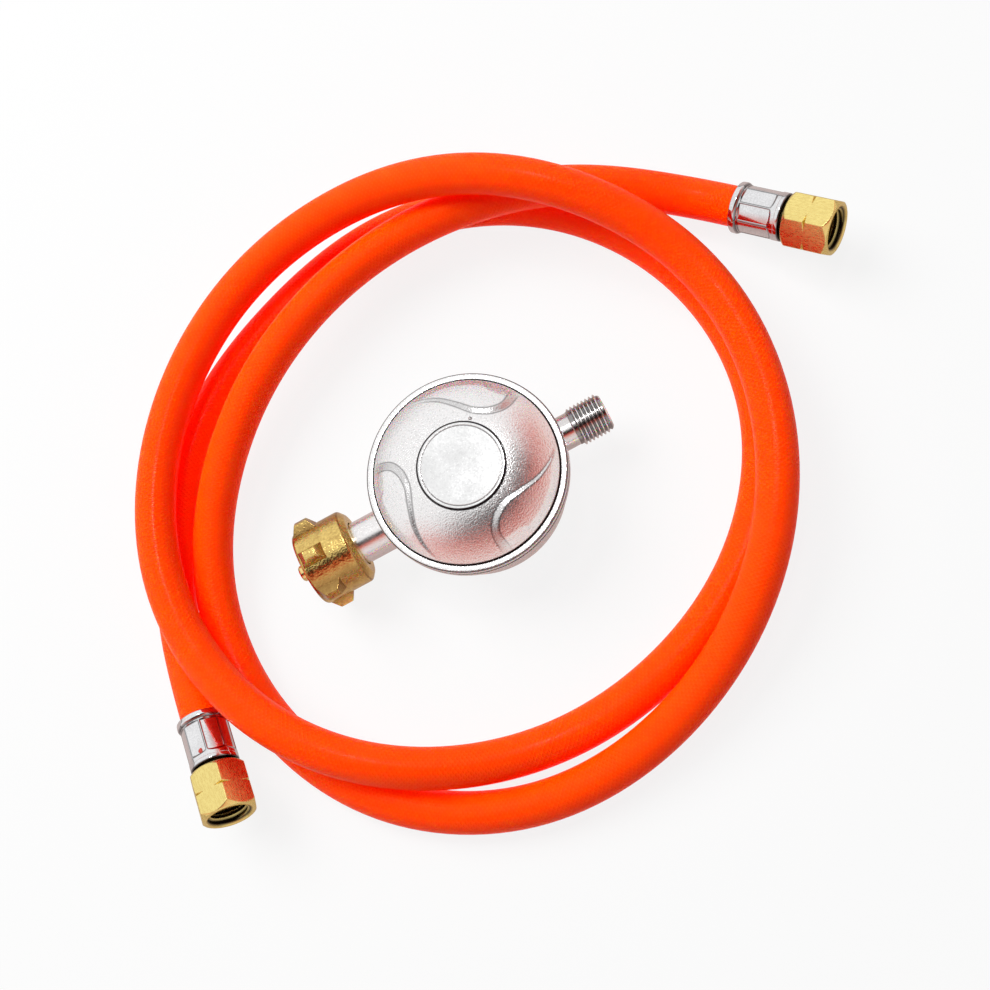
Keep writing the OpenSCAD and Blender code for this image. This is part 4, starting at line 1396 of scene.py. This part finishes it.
        def raise_swirls(phi: np.ndarray, along: np.ndarray, radius: np.ndarray) -> Moved:
            """Raises the panels and sinks the breather hole."""
            lifted = along.copy()
            part = slice(first, last)
            x, y = radius[:, part] * np.cos(phi[:, part]), radius[:, part] * np.sin(phi[:, part])
            lifted[:, part] += self.swirls(x, y)[0]
            gap = np.hypot(x - vent[0], y - vent[1])
            lifted[:, part] -= self.vent_depth * np.clip((self.vent_r - gap) / 0.12, 0, 1)
            return lifted, radius

        def painted_shade_depth(turn: np.ndarray, along: np.ndarray, radius: np.ndarray) -> np.ndarray:
            """Painted shade on the swirls' slopes and along their edges."""
            dome_skin = (radius > self.cap_seat_r) & (radius < dome) & (along > self.land_h)
            held = np.zeros_like(radius)
            r, phi = radius[dome_skin], turn[dome_skin]
            held[dome_skin] = self.swirls(r * np.cos(phi), r * np.sin(phi))[1]
            return held

        cover = solid("upper_cover_dome", revolved(outside, turn_angles(self.around), raise_swirls),
                      UPRIGHT, 35.0)
        painted_shade(cover, UPRIGHT, painted_shade_depth)
        return cover

    def cap(self) -> bpy.types.Object:
        """Makes the sealing cap: a flat disc with a fine ring rolled into it."""
        top = float(self.crown(self.cap_seat_r)) + 0.5
        low = top - self.cap_t
        ring = self.cap_r - 1.25
        outline = softened([
            (low, 0.0, 0.0), (low, self.cap_r - 0.05, 0.1), (top - 0.3, self.cap_r, 0.2),
            (top, self.cap_r - 0.35, 0.25), (top, ring + 0.22, 0.06), (top - 0.22, ring + 0.08, 0.05),
            (top - 0.22, ring - 0.08, 0.05), (top, ring - 0.22, 0.06), (top - 0.06, 0.0, 0.0)])
        return solid("label_cap_disc", revolved(outline, turn_angles(192)), UPRIGHT, 35.0)

    def build(self) -> None:
        """Makes and dresses the upper side of the regulator."""
        hand_over(self.shell(), COVER_PAINT, Body.REGULATOR, ["upper_cover"])
        hand_over(self.cap(), CAP_PAINT, Body.REGULATOR, ["label_cap"])


def smooth_curve(at: np.ndarray, values: np.ndarray, wanted: np.ndarray) -> np.ndarray:
    """Smooth curve through a table of values.

    Args:
        at: where the values stand, rising.
        values: the values.
        wanted: where the curve is wanted.

    Returns:
        The curve's values there.
    """
    slope = np.gradient(values, at)
    index = np.clip(np.searchsorted(at, wanted, side="right") - 1, 0, len(at) - 2)
    width = at[index + 1] - at[index]
    t = (wanted - at[index]) / width
    a, b = values[index], values[index + 1]
    m, n = slope[index] * width, slope[index + 1] * width
    return ((2 * t ** 3 - 3 * t ** 2 + 1) * a + (t ** 3 - 2 * t ** 2 + t) * m
            + (-2 * t ** 3 + 3 * t ** 2) * b + (t ** 3 - t ** 2) * n)


# Turns a piece made round X so that its axis points up, keeping angle 0 on the row's X axis
UPRIGHT = Matrix(((0, 0, 1, 0), (0, -1, 0, 0), (1, 0, 0, 0), (0, 0, 0, 1)))
AXIS_H = 16.5
INLET = Matrix.Translation((0, 0, AXIS_H * MM)) @ Matrix.Rotation(math.pi, 4, "Z")
OUTLET = Matrix.Translation((0, 0, AXIS_H * MM))


@dataclass
class Outlet:
    """The outlet nipple with its left-hand thread."""

    seat_x: float = 25.0
    shank_r: float = 4.8
    boss_x: float = 30.0
    neck_r: float = 5.6
    thread_x: float = 35.5
    end_x: float = 47.5
    major_r: float = 6.58
    minor_r: float = 5.75
    pitch: float = 1.337
    bore_r: float = 3.0

    def build(self) -> None:
        """Makes and dresses the outlet."""
        outline = softened([
            (self.seat_x, self.shank_r, 0.0), (self.boss_x, self.shank_r, 0.0),
            (self.boss_x, self.neck_r, 0.1), (self.thread_x, self.neck_r, 0.1),
            (self.thread_x + 0.3, self.minor_r, 0.1), (self.end_x - 0.5, self.minor_r, 0.3),
            (self.end_x, self.minor_r - 0.5, 0.2), (self.end_x, self.bore_r + 2.0, 0.15),
            (self.end_x - 2.4, self.bore_r, 0.1), (self.seat_x, self.bore_r, 0.0)])
        core = revolved(outline, turn_angles(96))
        ridge = thread_ridge(self.minor_r, self.major_r, self.pitch, self.thread_x + 0.1,
                             self.end_x - 0.1, Hand.LEFT)
        nipple = solid("outlet_nipple_threaded", joined([core, ridge]), OUTLET, 28.0)

        def painted_shade_depth(turn: np.ndarray, along: np.ndarray, radius: np.ndarray) -> np.ndarray:
            """Painted shade in the thread's roots and on the bore."""
            root = (self.major_r - 0.15 - radius) / (self.major_r - self.minor_r - 0.15)
            threaded = (along > self.thread_x + 0.1) & (along < self.end_x - 0.6)
            return np.where(threaded | (radius < self.bore_r + 1.0), np.clip(root, 0, 0.62), 0)

        painted_shade(nipple, OUTLET, painted_shade_depth)
        hand_over(nipple, NICKEL, Body.REGULATOR, ["outlet_nipple"])


@dataclass
class Handwheel:
    """The cast handwheel on the inlet: barrel, six bevelled lugs and the coupling's thread."""

    back_x: float = 42.0
    mouth_x: float = 60.0
    barrel_r: float = 12.5
    lug_r: float = 15.5
    lug_len: float = 8.6
    lug_bevel: float = 2.2
    lug_foot_w: float = 5.8
    lug_top_w: float = 2.8
    lug_count: int = 6
    spigot_hole_r: float = 7.5
    recess_x: float = 43.8
    web_x: float = 46.8
    neck_hole_r: float = 6.16
    thread_r: float = 10.95
    pitch: float = 1.814

    def barrel(self) -> bmesh.types.BMesh:
        """The turned barrel with its bores."""
        r, back, mouth = self.barrel_r, self.back_x, self.mouth_x
        outline = softened([
            (back, self.spigot_hole_r, 0.3), (back, r - 2.2, 0.5), (back + 1.8, r, 0.7),
            (mouth - 0.7, r, 0.4), (mouth, r - 0.6, 0.3), (mouth, self.thread_r + 0.7, 0.2),
            (mouth - 0.8, self.thread_r, 0.2), (self.web_x, self.thread_r, 0.3),
            (self.web_x, self.neck_hole_r, 0.15), (self.recess_x, self.neck_hole_r, 0.0),
            (self.recess_x, self.spigot_hole_r, 0.0)])
        return revolved(outline, turn_angles(128))

    def lug(self) -> bpy.types.Object:
        """One lug, standing up over the axis at the mouth end."""
        root, top = self.barrel_r - 0.6, self.lug_r
        far, near = self.mouth_x - 0.6, self.mouth_x - 0.6 - self.lug_len
        foot, crest = self.lug_foot_w / 2, self.lug_top_w / 2
        levels = ((root - 1.2, 0.0, foot), (root, 0.0, foot), (top, self.lug_bevel, crest))
        obj = linked("handwheel_lugs", skinned([
            [(near + inset, -half, height), (far - inset, -half, height),
             (far - inset, half, height), (near + inset, half, height)]
            for height, inset, half in levels]))
        edge = obj.modifiers.new("soft", "BEVEL")
        edge.width, edge.segments, edge.limit_method = 0.22 * MM, 2, "ANGLE"
        settle(obj)
        return obj

    def lug_tree(self) -> GeometryTree:
        """The geometry nodes that repeat the lug round the barrel."""
        made = GeometryTree("LugRing", {"Count": self.lug_count})
        graph, entry = made.graph, made.entry
        spots = graph.add("GeometryNodePoints", {"Count": entry["Count"]})
        index = graph.add("GeometryNodeInputIndex").outputs[0]
        share = graph.maths("DIVIDE", index, entry["Count"])
        turn = graph.add("ShaderNodeCombineXYZ", {0: graph.maths("MULTIPLY", share, math.tau)})
        placed = graph.add("GeometryNodeInstanceOnPoints",
                           {"Points": spots.outputs[0], "Instance": entry["Geometry"],
                            "Rotation": turn.outputs[0]})
        made.close(placed.outputs[0], WHEEL_BRASS)
        return made

    def painted_shade_pattern(self, turn: np.ndarray, along: np.ndarray, radius: np.ndarray) -> np.ndarray:
        """Brown painted shade in the bore, round the lugs' feet, along one side of the barrel and,
        fainter, along another.

        Args:
            turn: angle of each point round the axis.
            along: its place along the axis.
            radius: its distance from the axis.

        Returns:
            The painted shade, from 0 to 1.
        """
        bore = (radius < self.thread_r + 0.3) & (along > self.web_x - 0.5)
        feet = (np.abs(radius - self.barrel_r + 0.3) < 0.22) & (along < self.mouth_x - 0.5)
        side = np.exp(-((np.degrees(turn) + 52) / 24) ** 2) * (radius > self.barrel_r - 0.7)
        upper = np.exp(-((np.degrees(turn) - 62) / 20) ** 2) * (radius > self.barrel_r - 0.7)
        return np.maximum(np.maximum(0.7 * bore, 0.75 * feet), 0.62 * side + 0.35 * upper)

    def build(self) -> None:
        """Makes and dresses the handwheel."""
        lugs = self.lug_tree().run(self.lug())
        ring = bmesh.new()
        ring.from_mesh(lugs.data)
        bpy.data.objects.remove(lugs)
        thread = thread_ridge(self.thread_r, self.thread_r - 1.0, self.pitch, self.web_x + 0.8,
                              self.mouth_x - 0.5, Hand.LEFT)
        wheel = solid("handwheel_cast", joined([self.barrel(), ring, thread]), INLET, 34.0)
        painted_shade(wheel, INLET, self.painted_shade_pattern)
        hand_over(wheel, WHEEL_BRASS, Body.HANDWHEEL, ["handwheel"])


@dataclass
class SettingSpring:
    """The setting spring, which shortens between the diaphragm's plate and the screw."""

    coil_r: float = 6.4
    wire_r: float = 0.65
    turns: float = 4.5
    per_turn: int = 48
    sides: int = 12

    def build(self) -> None:
        """Winds the spring and dresses it."""
        foot, top = (corner[2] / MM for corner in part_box("main_spring"))
        low, high = foot + self.wire_r, top - self.wire_r
        steps = round(self.turns * self.per_turn)
        wire = [(self.coil_r + self.wire_r * math.cos(around), self.wire_r * math.sin(around))
                for around in turn_angles(self.sides)]
        rings = []
        for i in range(steps + 1):
            turn = math.tau * i / self.per_turn
            height = low + (high - low) * i / steps
            rings.append([(reach * math.cos(turn), reach * math.sin(turn), height + rise)
                          for reach, rise in wire])
        spring = solid("main_spring_wound", skinned(rings), Matrix.Identity(4), 50.0)
        spring.data.materials.append(SPRING_WIRE.material())
        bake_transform(spring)
        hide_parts("main_spring")
        log.info("%s shortens with the diaphragm", spring.name)


@dataclass
class Works:
    """The pieces that keep their CAD solids: lower shell, inlet stem and the works inside."""

    finishes: dict[str, Finish] = field(default_factory=lambda: {
        "lower_body": LOWER_PAINT, "adjusting_screw": TURNED_BRASS,
        "diaphragm": RUBBER, "diaphragm_plate": PLATED, "diaphragm_washer": PLATED,
        "diaphragm_rivet": TURNED_BRASS, "lever": PLATED, "lever_pin": PLATED,
        "valve_carrier": TURNED_BRASS, "valve_pad": RUBBER, "inlet_nozzle": TURNED_BRASS,
        "inlet_filter": BRONZE, "inlet_stem": TURNED_BRASS, "inlet_seal": RUBBER})

    def build(self) -> None:
        """Dresses each node."""
        for name, finish in self.finishes.items():
            dress_node(name, finish)


# ---------- studio ----------


@dataclass(frozen=True)
class Lamp:
    """A square soft box that looks at the object: place and width in metres, power in watts."""

    name: str
    place: Place
    width: float
    power: float
    mirrored: bool

    def hang(self) -> None:
        """Hangs the lamp; one that isn't mirrored stays out of the reflections."""
        data = bpy.data.lights.new(self.name, "AREA")
        data.shape, data.size, data.size_y = "RECTANGLE", self.width, self.width
        data.energy = self.power
        lamp = bpy.data.objects.new(self.name, data)
        bpy.context.scene.collection.objects.link(lamp)
        lamp.location = self.place
        lamp.visible_glossy = self.mirrored
        lamp.rotation_mode = "QUATERNION"
        lamp.rotation_quaternion = Vector(self.place).to_track_quat("Z", "Y")


@dataclass
class Studio:
    """Camera, lamps, floor and surroundings.

    A screen is where it begins and ends, in degrees from the soft box's centre, and its colour.
    """

    aim: Place = (0.0028, -0.00226, 0.0)
    towards: Place = (0.0583, -0.2865, 0.9563)
    distance: float = 0.46
    picture_up: Place = (0.4462, 0.8949, 0.0)
    lens: float = 50.69
    sensor: float = 36.0
    lamps: tuple[Lamp, ...] = (
        Lamp("key", (-0.45, 0.75, 1.1), 0.9, 27.0, False),
        Lamp("spark", (0.172, 0.3185, 1.354), 0.2, 3.0, True))
    box_centre: Place = (-0.11, 0.2525, 0.961)
    box_fades: tuple[float, float] = (50.0, 90.0)
    box_edge: Colour = (0.8, 0.79, 0.79)
    dark_side: Place = (0.4, -0.917, 0.0)
    camera_edge: tuple[float, float] = (21.0, 28.0)
    camera_dark: Colour = (0.01, 0.01, 0.011)
    screens: tuple[tuple[float, float, Colour], ...] = (
        (43.0, 50.0, (0.72, 0.11, 0.07)), (54.0, 64.0, (0.95, 0.66, 0.6)),
        (66.0, 76.0, (0.95, 0.88, 0.86)))
    horizon: float = 0.12
    horizon_end: float = 0.14
    soft_level: float = 0.1
    floor_radius: float = 3.0
    floor_paper: Colour = (0.9, 0.9, 0.9)
    floor_look: Colour = (0.6, 0.48, 0.45)
    floor_share: float = 0.9
    floor_glow: float = 0.96

    def camera(self) -> None:
        """Places the camera over the object, tipped a little towards the lower right."""
        data = bpy.data.cameras.new("camera")
        data.lens, data.sensor_width, data.sensor_fit = self.lens, self.sensor, "HORIZONTAL"
        data.clip_start, data.clip_end = 0.01, 50.0
        camera = bpy.data.objects.new("camera", data)
        bpy.context.scene.collection.objects.link(camera)
        back = Vector(self.towards).normalized()
        up = Vector(self.picture_up)
        up = (up - back * up.dot(back)).normalized()
        right = up.cross(back)
        place = Vector(self.aim) + back * self.distance
        camera.matrix_world = Matrix((
            (right.x, up.x, back.x, place.x), (right.y, up.y, back.y, place.y),
            (right.z, up.z, back.z, place.z), (0, 0, 0, 1)))
        bpy.context.scene.camera = camera

    def surroundings(self) -> None:
        """White past the floor, plain soft light, and a studio for the reflections.

        The reflections see a broad soft box to one side of the zenith. On the camera's side
        stand the dark camera, then warm red screens with a pale foot, and then a pale wall.
        Everything darkens towards the horizon.
        """
        world = bpy.data.worlds.new("studio")
        bpy.context.scene.world = world
        world.use_nodes = True
        graph = Graph(world.node_tree)
        world.node_tree.nodes.clear()
        place = graph.add("ShaderNodeTexCoord").outputs["Generated"]

        def leaning(direction: Place) -> bpy.types.NodeSocket:
            """Cosine of the angle from a direction."""
            axis = Vector(direction).normalized()
            return graph.add("ShaderNodeVectorMath", {0: place, 1: axis},
                             operation="DOT_PRODUCT").outputs[1]

        off = graph.maths("MULTIPLY", graph.maths("ARCCOSINE", leaning(self.box_centre)),
                          180 / math.pi)
        height = leaning((0.0, 0.0, 1.0))
        level = graph.maths("SINE", graph.maths("ARCCOSINE", height))
        facing = graph.maths("DIVIDE", leaning(self.dark_side),
                             graph.maths("MAXIMUM", level, 0.02))
        shown = graph.fade(facing, -0.45, -0.05)
        dark = graph.maths("MULTIPLY", graph.fade(off, *self.camera_edge),
                           graph.fade(facing, -0.25, 0.4))
        view = graph.tint(graph.fade(off, *self.box_fades), (1.0, 1.0, 1.0), self.box_edge)
        view = graph.tint(dark, view, self.camera_dark)
        for start, end, colour in self.screens:
            share = graph.maths("MULTIPLY", graph.fade(off, start, end), shown)
            view = graph.tint(share, view, colour)
        low = graph.fade(height, 0.0, self.horizon_end, self.horizon, 1.0)
        rays = graph.add("ShaderNodeLightPath").outputs
        gloss = graph.add("ShaderNodeBackground", {0: view, "Strength": low})
        soft = graph.add("ShaderNodeBackground", {"Strength": self.soft_level})
        plain = graph.add("ShaderNodeBackground", {"Strength": 1.0})
        for node in (soft, plain):
            node.inputs[0].default_value = (1, 1, 1, 1)
        lit = graph.add("ShaderNodeMixShader",
                        {0: rays["Is Glossy Ray"], 1: soft.outputs[0], 2: gloss.outputs[0]})
        mixed = graph.add("ShaderNodeMixShader",
                          {0: rays["Is Camera Ray"], 1: lit.outputs[0], 2: plain.outputs[0]})
        graph.add("ShaderNodeOutputWorld", {0: mixed.outputs[0]})

    def floor(self) -> None:
        """Lays a plain white floor that keeps a faint shadow."""
        mesh = bmesh.new()
        bmesh.ops.create_circle(mesh, cap_ends=True, segments=96, radius=self.floor_radius)
        floor = linked("floor", mesh)
        paper = bpy.data.materials.new("PaperWhite")
        paper.use_nodes = True
        graph = Graph(paper.node_tree)
        nodes = paper.node_tree.nodes
        skin = nodes["Principled BSDF"]
        skin.inputs["Base Color"].default_value = (*self.floor_paper, 1)
        skin.inputs["Roughness"].default_value = 0.9
        skin.inputs["Specular IOR Level"].default_value = 0.0
        rays = graph.add("ShaderNodeLightPath")
        seen = graph.maths("ADD", rays.outputs["Is Camera Ray"], graph.maths(
            "ADD", rays.outputs["Is Glossy Ray"], rays.outputs["Is Transmission Ray"]), clamp=True)
        share = graph.maths("MULTIPLY", seen, self.floor_share)
        look = graph.tint(rays.outputs["Is Glossy Ray"], (1.0, 1.0, 1.0), self.floor_look)
        glow = graph.add("ShaderNodeEmission", {0: look, "Strength": self.floor_glow})
        mixed = graph.add("ShaderNodeMixShader",
                          {0: share, 1: skin.outputs[0], 2: glow.outputs[0]})
        paper.node_tree.links.new(mixed.outputs[0], nodes["Material Output"].inputs[0])
        floor.data.materials.append(paper)

    def build(self) -> None:
        """Sets the whole studio up."""
        self.camera()
        for lamp in self.lamps:
            lamp.hang()
        self.surroundings()
        self.floor()
        bpy.context.scene.view_settings.view_transform = "Standard"


def main() -> None:
    """Builds the studio and every sub-assembly."""
    logging.basicConfig(level=logging.INFO, format="%(message)s")
    Studio().build()
    ends = (EndFitting("a", END_A, Body.NUT_A, NUT_BRASS_A),
            EndFitting("b", END_B, Body.NUT_B, NUT_BRASS_B, dot=True))
    fittings = [piece for end in ends for piece in end.build()]
    HoseLine().build(fittings)
    Cover().build()
    Outlet().build()
    Handwheel().build()
    SettingSpring().build()
    Works().build()


if __name__ == "__main__":
    main()
